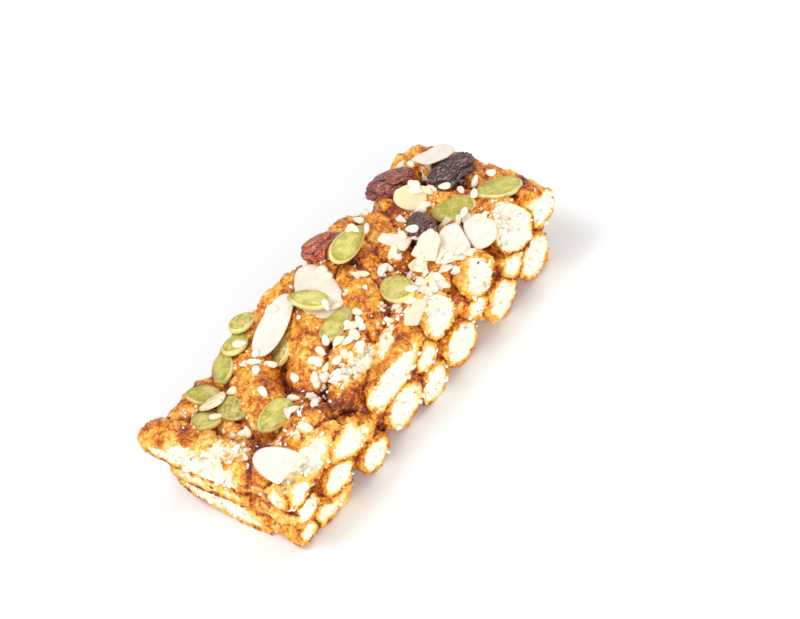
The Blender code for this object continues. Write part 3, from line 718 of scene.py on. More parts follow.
def pumpkin_seeds(finish):
    """Shelled pumpkin seeds. Round the outline by the angle a, and from rim to middle by the share
    s: the half width is sin a times |sin(a/2)| to a small power, which points the tip, and the
    thickness falls off as the root of 1 - s^6, with a fine raised rim near s = 0.9."""
    names = [f"pumpkin_seed_{i:02d}" for i in range(1, 15)]
    middles, axes, sizes = node_frames(names)
    draw = np.random.default_rng(SEED + 11)
    things = len(names)
    angle = 2 * math.pi * np.arange(PUMPKIN_SPOKES) / PUMPKIN_SPOKES
    share, side = face_rings(PUMPKIN_SHARES)
    x = np.cos(angle)
    y = np.sin(angle) * np.abs(np.sin(angle / 2)) ** PUMPKIN_TIP
    y = y / np.abs(y).max()
    half = sizes / 2
    half[:, 2] = PUMPKIN_THICKNESS / 2
    grid = over_outline(half, share, x, y)
    dome = np.sqrt(1 - share**6) * (0.8 + 0.2 * (1 - share**2))
    rim = PUMPKIN_RIM * np.exp(-(((share - 0.9) / 0.05) ** 2))
    grid[..., 2] = (side * (half[:, 2, None] * dome + rim))[..., None]
    u, v = within(grid, half)
    curl = draw.uniform(-0.25, 0.45, (things, 3))[:, :, None, None]
    inner = share[None, :, None] < 0.85
    grooves = PUMPKIN_GROOVE * np.sin(9 * v + curl[:, 1] * 9 + 2 * u) * inner
    grid[..., 2] += curl[:, 0] * u * u + 0.5 * curl[:, 1] * v * v + 0.25 * curl[:, 2] * u * v
    grid[..., 2] += grooves * side[None, :, None]
    rimmed = np.repeat(np.append(np.repeat(share, PUMPKIN_SPOKES), (0, 0))[None], things, axis=0)
    facts = {
        "tone": np.array(PUMPKIN_TONES),
        "dust": np.array(PUMPKIN_DUST),
        "rim": rimmed,
        "tip": np.concatenate([u.reshape(things, -1), np.zeros((things, 2))], axis=1),
    }
    faces = ball_faces(len(share), PUMPKIN_SPOKES)
    piece = joined("pumpkin_seeds", with_poles(grid), middles, axes, faces, facts, finish)
    return settle(piece, names)


def wavy(angle, draw, things, waves):
    """A gentle random wave round an outline, for each thing."""
    total = np.zeros((things, len(angle)))
    for wave in waves:
        phase = draw.uniform(0, 2 * math.pi, (things, 1))
        total += draw.uniform(0.4, 1, (things, 1)) * np.sin(wave * angle + phase) / wave
    return total


def flake_points(half, breaks, thickness, curls, draw):
    """Thin slices. By the angle a, the outline is a superellipse of power 2.3, narrower at one end,
    and the least of it and d / cos(a - b) for each straight break, which faces the way b and lies
    d from the middle. Faces are flat nearly to the rim."""
    things = len(half)
    angle = 2 * math.pi * np.arange(ALMOND_SPOKES) / ALMOND_SPOKES
    share, side = face_rings(ALMOND_SHARES)
    c, s = np.cos(angle), np.sin(angle)
    reach = (np.abs(c) ** FLAKE_POWER + np.abs(s) ** FLAKE_POWER) ** (-1 / FLAKE_POWER)
    reach = reach * (1 + FLAKE_WAVE * wavy(angle, draw, things, (2, 3, 5, 7)))
    for facing, apart in zip(breaks[0].T, breaks[1].T):
        facing, apart = facing[:, None], apart[:, None]
        ahead = np.maximum(np.cos(angle - facing), 0.05)
        ragged = 1 + FLAKE_WAVE * wavy(angle * 4, draw, things, (1, 2, 3))
        reach = np.minimum(reach, apart * ragged / ahead)
    x = reach * c
    y = reach * s * (1 - FLAKE_TAPER * c)
    for axis in (x, y):
        low, high = axis.min(axis=1, keepdims=True), axis.max(axis=1, keepdims=True)
        axis -= (low + high) / 2
        axis /= (high - low) / 2
    grid = over_outline(half, share, x[:, None], y[:, None])
    rim = np.sqrt(1 - share**30)
    grid[..., 2] = (side * thickness / 2 * rim)[None, :, None]
    u, v = within(grid, half)
    curl = curls[:, :, None, None]
    grid[..., 2] += curl[:, 0] * (u * u - 0.3) + curl[:, 1] * (v * v - 0.3) + curl[:, 2] * u * v
    return grid, share


def flake_piece(name, middles, axes, grid, share, tone, finish):
    """One object of flakes, whose points know how near the rim they are."""
    rimmed = np.append(np.repeat(share, ALMOND_SPOKES), (0, 0))
    facts = {"tone": tone, "rim": np.repeat(rimmed[None], len(middles), axis=0)}
    faces = ball_faces(len(share), ALMOND_SPOKES)
    return joined(name, with_poles(grid), middles, axes, faces, facts, finish)


def almond_flakes(finish):
    """Almond flakes, as thin slices that stand for the solid ones."""
    names = [f"almond_flake_{i:02d}" for i in range(1, 11)]
    middles, axes, sizes = node_frames(names)
    middles += axes[:, 2] * np.array(ALMOND_LIFTS)[:, None]
    draw = np.random.default_rng(SEED + 12)
    things = len(names)
    half = sizes / 2 * 1.03
    half[:, 1] *= ALMOND_TRIMS
    curls = draw.uniform(-0.12, 0.35, (things, 3))
    facing = np.zeros((things, 3))
    facing[:, 1:] = draw.uniform(0.5, 2.4, (things, 2)) * (1, -1)
    apart = np.array(ALMOND_BREAKS)
    broken = apart < 1
    others = [np.where(broken, draw.uniform(0.62, 1.0, things), NO_BREAK) for _ in (0, 1)]
    apart = np.stack([np.where(broken, apart, NO_BREAK), *others], 1)
    facing[ALMOND_WIDE_BREAK, 0] = math.pi
    apart[ALMOND_WIDE_BREAK, 1:] = NO_BREAK
    grid, share = flake_points(half, (facing, apart), ALMOND_THICKNESS, curls, draw)
    tone = np.array(ALMOND_TONES)
    piece = flake_piece("almond_flakes", middles, axes, grid, share, tone, finish)
    return settle(piece, names)


def almond_chips(surface, finish):
    """Small broken bits of flake, each cut by three breaks, that lie where they are seen."""
    draw = np.random.default_rng(SEED + 15)
    rows = np.array(ALMOND_CHIPS, float)
    things = len(rows)
    half = np.stack([rows[:, 3] / 2, rows[:, 4] / 2, np.full(things, 0.3)], 1)
    facing = draw.uniform(0, 2 * math.pi, (things, 1)) + np.array((0, 2.1, 4.2))
    facing += draw.uniform(-0.4, 0.4, (things, 3))
    apart = draw.uniform(0.42, 0.75, (things, 3))
    curls = draw.uniform(-0.1, 0.15, (things, 3))
    grid, share = flake_points(half, (facing, apart), CHIP_THICKNESS, curls, draw)
    spots = [(row[0], row[1], row[2]) for row in rows]
    middles, axes = lying(surface, spots, 0.35, draw, 0.22)
    tone = draw.uniform(0, 1, things)
    piece = flake_piece("almond_chips", middles, axes, grid, share, tone, finish)
    return settle(piece)


# The split seed: how much it tapers, its slit, and the ribs along it
HULL_TAPER = 0.35
SLIT_DEPTH, SLIT_WIDTH = 0.7, 0.12
RIB_HEIGHT, RIB_COUNT = 0.1, 22


def split_seed(finish):
    """A seed split in its hull: a thick slice that tapers to both ends. Across it, its upper face
    has fine ribs, a cosine, and a slit along the middle, a bell curve."""
    middles, axes, sizes = node_frames(["split_seed_01"])
    draw = np.random.default_rng(SEED + 13)
    half = sizes / 2 * np.array((1.15, 1.1, 1))
    curls = np.array(((-0.35, -0.9, 0.2),))
    none = (np.zeros((1, 1)), np.full((1, 1), NO_BREAK))
    grid, share = flake_points(half, none, 0.9, curls, draw)
    along, across = within(grid, half)
    top = (np.arange(len(share)) >= len(ALMOND_SHARES))[None, :, None]
    grid[..., 2] -= SLIT_DEPTH * np.exp(-((across / SLIT_WIDTH) ** 2)) * top
    grid[..., 2] += RIB_HEIGHT * np.cos(RIB_COUNT * across) * top
    grid[..., 1] *= 1 - HULL_TAPER * along**2
    piece = flake_piece("split_seed", middles, axes, grid, share, np.array((0.5,)), finish)
    return settle(piece, ["split_seed_01"])


def folds(points, draw, count, pace):
    """Random folds on a ball: plane waves that run mostly round it, summed, as creases that are
    deepest where the sum crosses 0."""
    total = np.zeros(points.shape[:-1])
    for _ in range(count):
        wave = draw.normal(0, 1, 3) * np.array((0.8, 1, 1)) * pace
        total += np.sin(points @ wave + draw.uniform(0, 2 * math.pi))
    return np.abs(total / math.sqrt(count / 2))


def raisins(finish):
    """Raisins: a ball in the solid's three sizes, whose radius falls in along sharp creases
    between rounded folds, large ones and small ones."""
    names = [f"raisin_{i:02d}" for i in range(1, 5)]
    middles, axes, sizes = node_frames(names)
    draw = np.random.default_rng(SEED + 14)
    ball = unit_ball(RAISIN_RINGS, RAISIN_SPOKES)
    grids, creases = [], []
    for size in sizes:
        stretched = ball * size / size[2]
        crease = 0.0
        for count, pace, depth, sharpness in RAISIN_FOLDS:
            wave = folds(stretched, draw, count, pace)
            crease = crease + depth * np.exp(-wave * sharpness)
        solid = ball * size / 2 * (RAISIN_SWELL - crease)[..., None]
        solid[..., 2] = solid[..., 2] * RAISIN_SLUMP - (1 - RAISIN_SLUMP) * size[2] / 2
        grids.append(solid)
        # Each point keeps how deep its crease is, which sets the painted shade in the creases
        creases.append(np.append(crease.ravel(), (0.1, 0.1)) * 3)
    facts = {"tone": np.array(RAISIN_TONES), "rim": np.array(creases)}
    faces = ball_faces(RAISIN_RINGS, RAISIN_SPOKES)
    local = with_poles(np.array(grids))
    piece = joined("raisins", local, middles, axes, faces, facts, finish)
    return settle(piece, names)


def settle(piece, nodes=()):
    """A finished piece rides on the bar's one body and hides the nodes that it stands for."""
    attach(piece, "root")
    if nodes:
        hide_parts(*nodes)
    return piece


# What is strewn on top, by the place where it shows on the plane of the bar's top

TOP_PLANE = 22.2
SESAME_GROUPS = (
    (-46.8, -3.6, 2), (-35.8, 9.6, 1), (-27.0, 9.0, 4), (-26.0, -1.8, 1), (-21.8, -2.2, 2),
    (-31.4, -5.8, 1), (-33.4, -9.2, 2), (-29.2, -9.4, 1), (-25.4, -10.4, 4), (-22.4, -9.0, 3),
    (-17.6, -5.4, 3), (-12.2, -7.2, 4), (-9.4, -6.4, 3), (-4.6, -6.6, 4), (-1.6, -11.8, 1),
    (1.6, -13.0, 2), (17.4, 0.0, 1), (13.8, -2.6, 3), (12.4, -12.6, 6), (17.0, -15.4, 4),
    (25.4, 4.4, 2), (34.2, 3.6, 2), (41.0, 8.6, 3), (43.6, -1.6, 1), (44.0, -5.4, 1),
    (36.6, -10.6, 4), (52.0, -5.0, 1), (46.0, 17.6, 2), (5.8, 15.6, 3), (22.6, 15.2, 4),
    (-33.0, 2.4, 1), (-10.6, 17.0, 2), (-22.8, 18.0, 1), (-13.0, -1.2, 1), (-4.3, -3.0, 2),
    (41.5, 3.8, 2), (-37.5, -14.5, 1), (22.0, -12.0, 4), (30.0, -6.0, 3), (16.0, -9.0, 3),
    (-1.0, 5.5, 2), (27.6, 17.0, 1), (-44.0, 8.0, 1), (48.0, -3.0, 1),
)

# Broken bits of almond: along and across where they show, turn, length and width
ALMOND_CHIPS = (
    (16.8, -8.4, 70, 7.0, 4.8), (8.2, 4.6, 105, 5.4, 3.0), (10.2, -14.6, 80, 5.0, 3.0),
    (32.6, -4.6, 130, 4.6, 2.4), (44.6, 10.4, 60, 4.6, 2.4), (22.0, -9.4, 10, 4.6, 3.0),
    (20.2, -4.2, 60, 4.2, 2.6), (18.6, 1.6, 20, 4.4, 2.2), (25.6, -15.6, 100, 4.4, 3.0),
    (36.6, -8.4, 20, 4.0, 2.6),
    (24.6, -1.0, 140, 3.8, 2.2), (14.6, -12.6, 30, 4.4, 2.6), (6.4, -12.6, 120, 3.6, 2.2),
    (13.0, -16.4, 10, 4.0, 2.6), (-36.2, -7.4, 40, 3.2, 2.0), (-15.2, -10.4, 60, 3.4, 2.0),
    (28.8, 6.2, 80, 3.4, 2.0), (40.2, 7.0, 110, 4.0, 2.2),
    (21.6, -13.0, 160, 4.4, 2.8), (48.2, 12.0, 30, 3.0, 1.8),
)

# Crumbs spilt on top: along, across, how far they spread each way, and how many
CRUMB_SPILLS = (
    (-50.0, -3.0, 3.5, 6.0, 40),
    (-46.0, 12.0, 4.0, 4.0, 26),
    (-40.0, 7.0, 3.0, 3.0, 14),
    (-44.0, -12.0, 6.0, 4.0, 30),
    (-32.0, -10.0, 6.0, 4.0, 24),
    (-18.0, -11.0, 9.0, 4.0, 46),
    (-24.0, 10.0, 5.0, 5.0, 16),
    (2.0, -10.0, 6.0, 4.0, 26),
    (12.0, -12.0, 6.0, 4.0, 50),
    (18.0, -6.0, 6.0, 5.0, 40),
    (28.0, -10.0, 6.0, 6.0, 56),
    (38.0, -14.0, 6.0, 4.0, 30),
    (24.0, 3.0, 5.0, 3.0, 20),
    (34.0, 6.0, 5.0, 4.0, 26),
    (43.0, 8.0, 4.0, 4.0, 22),
    (10.0, 17.0, 6.0, 3.0, 16),
    (-2.0, 4.0, 6.0, 6.0, 16),
)
# How many crumbs cling to the cuts and the torn places
CRUMBS_ON_CUTS = 1100
# How many of the skin's first pieces are the bar itself, and more than there are
BODY_PIECES, ANY_PIECE = 5, 99


class Surface:
    """The skin that strewn things land on, seen from the camera."""

    def __init__(self, pieces, eye):
        points, faces, start, ends = [], [], 0, []
        for piece in pieces:
            mesh = piece.data
            points.append(read(mesh.vertices, "co", 3))
            mesh.calc_loop_triangles()
            faces.append(read(mesh.loop_triangles, "vertices", 3, np.int32) + start)
            start += len(mesh.vertices)
            ends.append(sum(len(f) for f in faces))
        self.ends = ends
        points, faces = np.concatenate(points), np.concatenate(faces)
        self.tree = BVHTree.FromPolygons(points.tolist(), faces.tolist())
        self.eye = Vector(eye)

    def seen(self, along, across):
        """Where the sight line through a place on the top plane meets the skin, in mm."""
        target = Vector((along, across, TOP_PLANE)) * MM
        hit, normal, face, _ = self.tree.ray_cast(self.eye, (target - self.eye).normalized())
        if not hit:
            return None, None
        self.piece = np.searchsorted(self.ends, face, "right")
        return np.array(hit) / MM, np.array(normal)


def lying(surface, spots, sink, draw, tilt, only=ANY_PIECE):
    """Frames of things that lie on the skin where they are seen: spots are (along, across, turn),
    and a thing's normal is the skin's, smoothed over its neighbourhood. Only so many of the skin's
    first pieces may hold them."""
    middles, axes = [], []
    for along, across, turn in spots:
        hit, normal = surface.seen(along, across)
        if hit is None or hit[2] < 8 or surface.piece >= only:
            continue
        steps = ((1, 0), (-1, 0), (0, 1), (0, -1))
        beside = [(along + u, across + v) for u, v in steps]
        around = [surface.seen(*spot)[1] for spot in beside]
        normal = normal + sum(n for n in around if n is not None) + draw.normal(0, tilt, 3)
        normal = normal + np.array((0, 0, 1.2))
        normal /= np.linalg.norm(normal)
        heading = math.radians(turn)
        long = np.array((math.cos(heading), math.sin(heading), 0.0))
        long -= normal * (long @ normal)
        long /= np.linalg.norm(long)
        middles.append(hit + normal * sink)
        axes.append((long, np.cross(normal, long), normal))
    return np.array(middles), np.array(axes)


def sesame_seeds(surface, finish):
    """Hulled sesame seeds: an oval that narrows to one end, two thirds as thick as wide."""
    draw = np.random.default_rng(SEED + 21)
    spots = []
    for along, across, count in SESAME_GROUPS:
        spread = SESAME_SPREAD * math.sqrt(count) * (count > 1)
        for _ in range(count):
            u, v = draw.uniform(-spread, spread, 2)
            spots.append((along + u, across + v, draw.uniform(0, 360)))
    middles, axes = lying(surface, spots, SESAME_THICKNESS * 0.3, draw, 0.25)
    things = len(middles)
    polar = math.pi * (np.arange(SESAME_RINGS) + 0.5) / SESAME_RINGS
    angle = 2 * math.pi * np.arange(SESAME_SPOKES) / SESAME_SPOKES
    along = -np.cos(polar)[:, None] * np.ones(SESAME_SPOKES)
    girth = np.sin(polar)[:, None] ** 0.9 * (1 - SESAME_TAPER * along)
    size = draw.uniform(0.86, 1.1, (things, 1, 1, 3)) / 2
    shape = np.stack([along, girth * np.cos(angle), girth * np.sin(angle)], axis=-1)
    grid = shape[None] * size * np.array((SESAME_LENGTH, SESAME_WIDTH, SESAME_THICKNESS))
    facts = {"tone": draw.uniform(0, 1, things)}
    faces = ball_faces(SESAME_RINGS, SESAME_SPOKES)
    piece = joined("sesame_seeds", with_poles(grid), middles, axes, faces, facts, finish)
    return settle(piece)


# Crumbs: rings and points, the smallest size, and which places they cling to: how deep in their
# stick, how high above the floor, and how near a knife cut
CRUMB_RINGS, CRUMB_SPOKES = 4, 6
SMALLEST_CRUMB = 0.34
CRUMB_DEPTH = 0.5
CRUMB_LOWEST = 1.2
CUT_REACH = 2.5


def crumb_shapes(draw, things):
    """Small torn lumps: a ball of few faces whose points are pushed in and out at random."""
    ball = unit_ball(CRUMB_RINGS, CRUMB_SPOKES)
    return ball[None] * draw.uniform(0.4, 1.3, (things, CRUMB_RINGS, CRUMB_SPOKES, 1))


def crumbs(beds, surface, finish):
    """Crumbs torn loose: they cling to the cut faces and the torn places, and lie on the top near
    them. A cut place is where the skin lies deep in its own stick."""
    draw = np.random.default_rng(SEED + 31)
    places = []
    for bed in beds:
        mesh = bed.data
        points = read(mesh.vertices, "co", 3) / MM
        normals = read(mesh.vertex_normals, "vector", 3)
        depth = read(mesh.attributes["depth"].data, "value")
        deep = (depth > CRUMB_DEPTH) & (points[:, 2] > CRUMB_LOWEST)
        cut = np.nonzero(deep & shown(points, normals))[0]
        chosen = draw.choice(cut, CRUMBS_ON_CUTS // len(beds), replace=False)
        places.append(points[chosen] + normals[chosen] * 0.1)
    spots = []
    for along, across, spread_x, spread_y, count in CRUMB_SPILLS:
        for _ in range(count):
            u, v = draw.normal(0, 0.6, 2)
            spots.append((along + u * spread_x, across + v * spread_y, draw.uniform(0, 360)))
    places.append(lying(surface, spots, 0.2, draw, 0.3, BODY_PIECES)[0])
    middles = np.concatenate(places)
    things = len(middles)
    sizes = SMALLEST_CRUMB + 0.5 * draw.uniform(0, 1, (things, 1, 1, 1)) ** 2
    grid = crumb_shapes(draw, things) * sizes * draw.uniform(0.45, 1.4, (things, 1, 1, 3))
    turns = np.linalg.qr(draw.normal(0, 1, (things, 3, 3)))[0]
    turns *= np.sign(np.linalg.det(turns))[:, None, None]
    facts = {"tone": draw.uniform(0, 1, things)}
    faces = ball_faces(CRUMB_RINGS, CRUMB_SPOKES)
    piece = joined("crumbs", with_poles(grid), middles, turns, faces, facts, finish)
    return settle(piece)


def shown(points, normals):
    """Whether places lie on a knife cut or face upwards."""
    level = np.abs(normals[:, 2]) < 0.8
    x, y = points[:, 0], points[:, 1]
    ends = (x < NEAR_CUT + CUT_REACH) | (x > FAR_CUT - CUT_REACH)
    sides = (y < RIGHT_CUT + CUT_REACH) | (y > LEFT_CUT - CUT_REACH)
    return (level & (ends | sides)) | (normals[:, 2] > 0.2)


# Materials

def linear(red, green, blue):
    """A colour as seen on a screen, 0 to 255, as a linear one."""
    def one(value):
        value /= 255
        return value / 12.92 if value <= 0.04045 else ((value + 0.055) / 1.055) ** 2.4
    return (one(red), one(green), one(blue), 1.0)


class Shading:
    """A shader tree, with short words for the nodes that it gets. A value is a number or the
    socket that feeds it."""

    def __init__(self, tree, where):
        self.tree = tree
        self.where = where

    def feed(self, socket, value):
        """Gives a socket its value."""
        if isinstance(value, bpy.types.NodeSocket):
            self.tree.links.new(value, socket)
        else:
            socket.default_value = value

    def add(self, kind, inputs, **settings):
        """Adds a node."""
        made = self.tree.nodes.new("ShaderNode" + kind)
        for name, value in settings.items():
            setattr(made, name, value)
        for name, value in inputs.items():
            self.feed(made.inputs[name], value)
        return made

    def sums(self, operation, first, second=0.0, clamp=False):
        """Arithmetic on two values."""
        inputs = {0: first, 1: second}
        return self.add("Math", inputs, operation=operation, use_clamp=clamp).outputs[0]

    def plus(self, first, second, clamp=False):
        """The sum of two values."""
        return self.sums("ADD", first, second, clamp)

    def less(self, first, second):
        """What is left of a value less another."""
        return self.sums("SUBTRACT", first, second)

    def times(self, first, second):
        """The product of two values."""
        return self.sums("MULTIPLY", first, second)

    def spread(self, value, low, high, to_low=0.0, to_high=1.0, ease="LINEAR"):
        """Where a value lies between two levels, from 0 to 1 or between two others."""
        inputs = {
            "Value": value, "From Min": low, "From Max": high, "To Min": to_low, "To Max": to_high,
        }
        return self.add("MapRange", inputs, interpolation_type=ease).outputs["Result"]

    def noise(self, where, scale, detail, roughness=0.5):
        """Smooth noise round 0.5."""
        inputs = {"Vector": where, "Scale": scale, "Detail": detail, "Roughness": roughness}
        return self.add("TexNoise", inputs).outputs["Fac"]

    def mixed(self, share, first, second):
        """A colour between two others."""
        return self.add("Mix", {0: share, 6: first, 7: second}, data_type="RGBA").outputs[2]

    def tint(self, colour, share, strength, seen):
        """A colour turned towards a seen one, by a share of a strength."""
        return self.mixed(self.times(share, strength), colour, linear(*seen))

    def ramp(self, value, stops):
        """A colour ramp: stops are (share, seen colour)."""
        made = self.add("ValToRGB", {"Fac": value})
        elements = made.color_ramp.elements
        while len(elements) < len(stops):
            elements.new(0.5)
        for element, (share, seen) in zip(elements, stops):
            element.position = share
            element.color = linear(*seen)
        return made.outputs["Color"]

    def group(self, name, **inputs):
        """A shared node group, which reads the piece's own place unless it gets another."""
        made = self.tree.nodes.new("ShaderNodeGroup")
        made.node_tree = bpy.data.node_groups[name]
        for label, value in {"Vector": self.where, **inputs}.items():
            self.feed(made.inputs[label], value)
        return made.outputs[0]

    def fact(self, name, output="Fac"):
        """A point attribute's value."""
        return self.add("Attribute", {}, attribute_name=name).outputs[output]

    def shifted(self, where, **inputs):
        """Places moved, turned or stretched."""
        return self.add("Mapping", {"Vector": where, **inputs}).outputs["Vector"]


class Group(Shading):
    """A node group in the making: a vector and named numbers go in, one value comes out."""

    def __init__(self, name, numbers, result):
        tree = bpy.data.node_groups.new(name, "ShaderNodeTree")
        tree.interface.new_socket(name="Vector", in_out="INPUT", socket_type="NodeSocketVector")
        for label, value in numbers.items():
            socket = tree.interface.new_socket(
                name=label, in_out="INPUT", socket_type="NodeSocketFloat"
            )
            socket.default_value = value
        kind = "NodeSocket" + ("Color" if result == "Colour" else "Float")
        tree.interface.new_socket(name=result, in_out="OUTPUT", socket_type=kind)
        self.inlet = tree.nodes.new("NodeGroupInput").outputs
        self.outlet = tree.nodes.new("NodeGroupOutput").inputs[result]
        super().__init__(tree, self.inlet["Vector"])


def patch_group():
    """Patches: soft-edged noise of a size in mm, as a mask between a low and a high level."""
    made = Group("patches", {"Size": 2.0, "Rough": 0.6, "Low": 0.45, "High": 0.6}, "Mask")
    scale = made.sums("DIVIDE", 1000.0, made.inlet["Size"])
    noise = made.noise(made.where, scale, 4.0, made.inlet["Rough"])
    mask = made.spread(noise, made.inlet["Low"], made.inlet["High"], ease="SMOOTHSTEP")
    made.feed(made.outlet, mask)


def grit_group():
    """Grit: the height of small rounded grains of a size in mm on finer noise."""
    made = Group("grit", {"Size": 0.8, "Fine": 0.5}, "Height")
    scale = made.sums("DIVIDE", 1000.0, made.inlet["Size"])
    cells = made.add("TexVoronoi", {"Vector": made.where, "Scale": scale}, feature="SMOOTH_F1")
    round_top = made.less(1.0, cells.outputs["Distance"])
    noise = made.noise(made.where, made.times(scale, 2.3), 3.0)
    made.feed(made.outlet, made.plus(round_top, made.times(noise, made.inlet["Fine"])))


# The crust's noise: size in mm and weight of each of its four layers, and the size of its grains
CRUST_LAYERS = ((9.0, 1.2), (3.0, 1.3), (1.3, 0.95), (0.5, 0.4))
CRUST_GRAIN = 0.55


def crust_group():
    """Baked sugar crust: noise of four sizes runs one range of tones, from purple brown over
    orange brown to yellow specks. Shift moves it all to the darker or the lighter end."""
    made = Group("sugar_crust", {"Shift": 0.0}, "Colour")
    total = made.inlet["Shift"]
    for size, weight in CRUST_LAYERS:
        noise = made.noise(made.where, 1000.0 / size, 2.5, 0.6)
        total = made.plus(total, made.times(made.less(noise, 0.5), weight))
    cells = made.add("TexVoronoi", {"Vector": made.where, "Scale": 1000.0 / CRUST_GRAIN})
    chance = made.add("SeparateColor", {"Color": cells.outputs["Color"]}).outputs[0]
    grain = made.times(made.less(chance, 0.5), 0.3)
    groove = made.times(made.less(cells.outputs["Distance"], 0.42), 0.3)
    tone = made.plus(made.plus(total, made.less(grain, groove)), 0.65, clamp=True)
    stops = (
        (0.0, (98, 44, 36)),
        (0.2, (148, 70, 34)),
        (0.4, (200, 102, 28)),
        (0.58, (232, 146, 44)),
        (0.8, (250, 188, 72)),
        (1.0, (254, 224, 146)),
    )
    made.feed(made.outlet, made.ramp(tone, stops))


class Finish(Shading):
    """A material in the making: its shader, and its Object coordinates."""

    def __init__(self, name, roughness, specular=0.5):
        self.material = bpy.data.materials.new(name)
        self.material.use_nodes = True
        tree = self.material.node_tree
        super().__init__(tree, tree.nodes.new("ShaderNodeTexCoord").outputs["Object"])
        self.shader = tree.nodes["Principled BSDF"].inputs
        self.shader["Roughness"].default_value = roughness
        self.shader["Specular IOR Level"].default_value = specular

    def patches(self, size, low, high, where=None):
        """A patches group's mask."""
        return self.group("patches", Size=size, Low=low, High=high, Vector=where or self.where)

    def own_place(self):
        """Each point's place on its own thing, in mm."""
        return self.fact("own_place", "Vector")

    def embossed(self, relief, height):
        """A relief as a bump, and how many mm its unit is high."""
        bump = self.add("Bump", {"Height": relief, "Distance": height * MM, "Strength": 1.0})
        self.feed(self.shader["Normal"], bump.outputs["Normal"])

    def finished(self, colour, grain=None, height=0.0, fine=0.6):
        """The material with its colour, and grit of a grain and a height in mm."""
        self.feed(self.shader["Base Color"], colour)
        if grain:
            self.embossed(self.group("grit", Size=grain, Fine=fine), height)
        return self.material


def puffed_grain():
    """Amber, orange and brown crust outside, and a white crumb where a stick is cut or torn:
    the depth in the stick turns crust to amber rim and rim to crumb, and the crumb's pits get a
    painted warm glow."""
    look = Finish("puffed_grain", 0.45, 0.35)
    lead = look.fact("lead")
    gap = look.plus(lead, look.times(look.patches(1.4, 0.2, 0.8), 1.4))
    shift = look.times(look.less(look.fact("tone"), 0.6), 0.16)
    seam = look.spread(gap, 1.7, 0.5)
    for share, weight in ((seam, -0.62), (look.fact("scorch"), -0.3), (look.fact("edge"), 0.14)):
        shift = look.plus(shift, look.times(share, weight))
    crust = look.group("sugar_crust", Shift=shift)
    halo = look.less(look.patches(3.0, 0.3, 0.7), 0.6)
    ragged = look.plus(look.fact("depth"), look.times(halo, 1.1))
    inner = look.sums("MINIMUM", ragged, look.plus(look.times(lead, 0.5), 0.25))
    stops = (
        (0.12, (206, 106, 24)),
        (0.28, (246, 168, 40)),
        (0.46, (253, 212, 108)),
        (0.66, (255, 240, 204)),
        (0.84, (255, 248, 230)),
    )
    crumb = look.ramp(look.sums("DIVIDE", inner, 2.5, clamp=True), stops)
    # Painted glow: the crumb's pits are tinted warm yellow, standing in for light shining through
    # the translucent crumb
    pit_glow = look.spread(look.fact("pit_glow"), 0.5, 2.0, to_high=0.8)
    crumb = look.mixed(pit_glow, crumb, linear(252, 208, 128))
    cut = look.spread(inner, 0.45, 0.75)
    look.feed(look.shader["Roughness"], look.spread(cut, 0.0, 1.0, 0.38, 0.85))
    return look.finished(look.mixed(cut, crust, crumb), 0.62, 0.22, 0.7)


def syrup_glaze():
    """Burnt brown sugar: dark, shiny and uneven."""
    look = Finish("brown_syrup", 0.34)
    return look.finished(look.group("sugar_crust", Shift=-0.34), 0.9, 0.3, 0.7)


def pumpkin_skin():
    """Olive green skin with a paler rim, a dark tip, and fine lines along it."""
    look = Finish("pumpkin_seed", 0.28, 0.4)
    own, rim = look.own_place(), look.fact("rim")
    lines = look.shifted(own, Scale=(0.0002, 0.0018, 0.001))
    colour = look.mixed(look.fact("tone"), linear(160, 150, 50), linear(226, 214, 106))
    rows = (
        (look.patches(1.2, 0.4, 0.6, lines), 0.5, (146, 134, 14)),
        # Pale patches: partly paler skin, partly painted glare
        (look.patches(3.0, 0.42, 0.62), 0.5, (238, 230, 150)),
        (look.patches(2.2, 0.5, 0.64, look.shifted(own, Scale=(MM, MM, MM))), 0.45, (140, 130, 14)),
        (look.spread(rim, 0.7, 0.86), 0.4, (136, 124, 14)),
        (look.spread(rim, 0.87, 0.93), 0.8, (238, 230, 150)),
        (look.spread(look.fact("tip"), 0.72, 0.96), 0.6, (104, 92, 34)),
        (look.patches(0.9, 0.46, 0.56), look.fact("dust"), (238, 214, 150)),
    )
    for share, strength, seen in rows:
        colour = look.tint(colour, share, strength, seen)
    return look.finished(colour, 0.6, 0.05)


def almond_flesh():
    """Ivory flesh, nearly white, a little pink and fibrous."""
    look = Finish("almond", 0.55)
    colour = look.mixed(look.fact("tone"), linear(245, 237, 228), linear(247, 226, 172))
    colour = look.tint(colour, look.patches(3.5, 0.42, 0.62), 0.5, (238, 218, 202))
    colour = look.tint(colour, look.spread(look.fact("rim"), 0.9, 1.0), 0.5, (228, 196, 150))
    return look.finished(colour, 0.9, 0.06)


def loose_crumb():
    """White puffed crumb, toasted to cream in places."""
    look = Finish("crumb", 0.8)
    toasted = look.spread(look.fact("tone"), 0.86, 1.0)
    colour = look.mixed(toasted, linear(255, 250, 236), linear(248, 206, 130))
    colour = look.tint(colour, look.patches(0.8, 0.5, 0.7), 0.3, (246, 222, 180))
    return look.finished(colour, 0.5, 0.05)


def seed_hull():
    """Ivory hull with thin dark stripes along it and a darker slit."""
    look = Finish("seed_hull", 0.5)
    across = look.add("SeparateXYZ", {"Vector": look.own_place()}).outputs["Y"]
    stripe = look.spread(look.sums("SINE", look.times(across, 9.0)), 0.55, 0.95)
    worn = look.times(stripe, look.patches(1.5, 0.35, 0.6))
    colour = look.tint(linear(240, 226, 190), worn, 0.6, (150, 128, 84))
    slit = look.spread(look.sums("ABSOLUTE", across), 0.3, 0.1)
    colour = look.tint(colour, slit, 0.8, (92, 66, 44))
    return look.finished(colour, 0.6, 0.05)


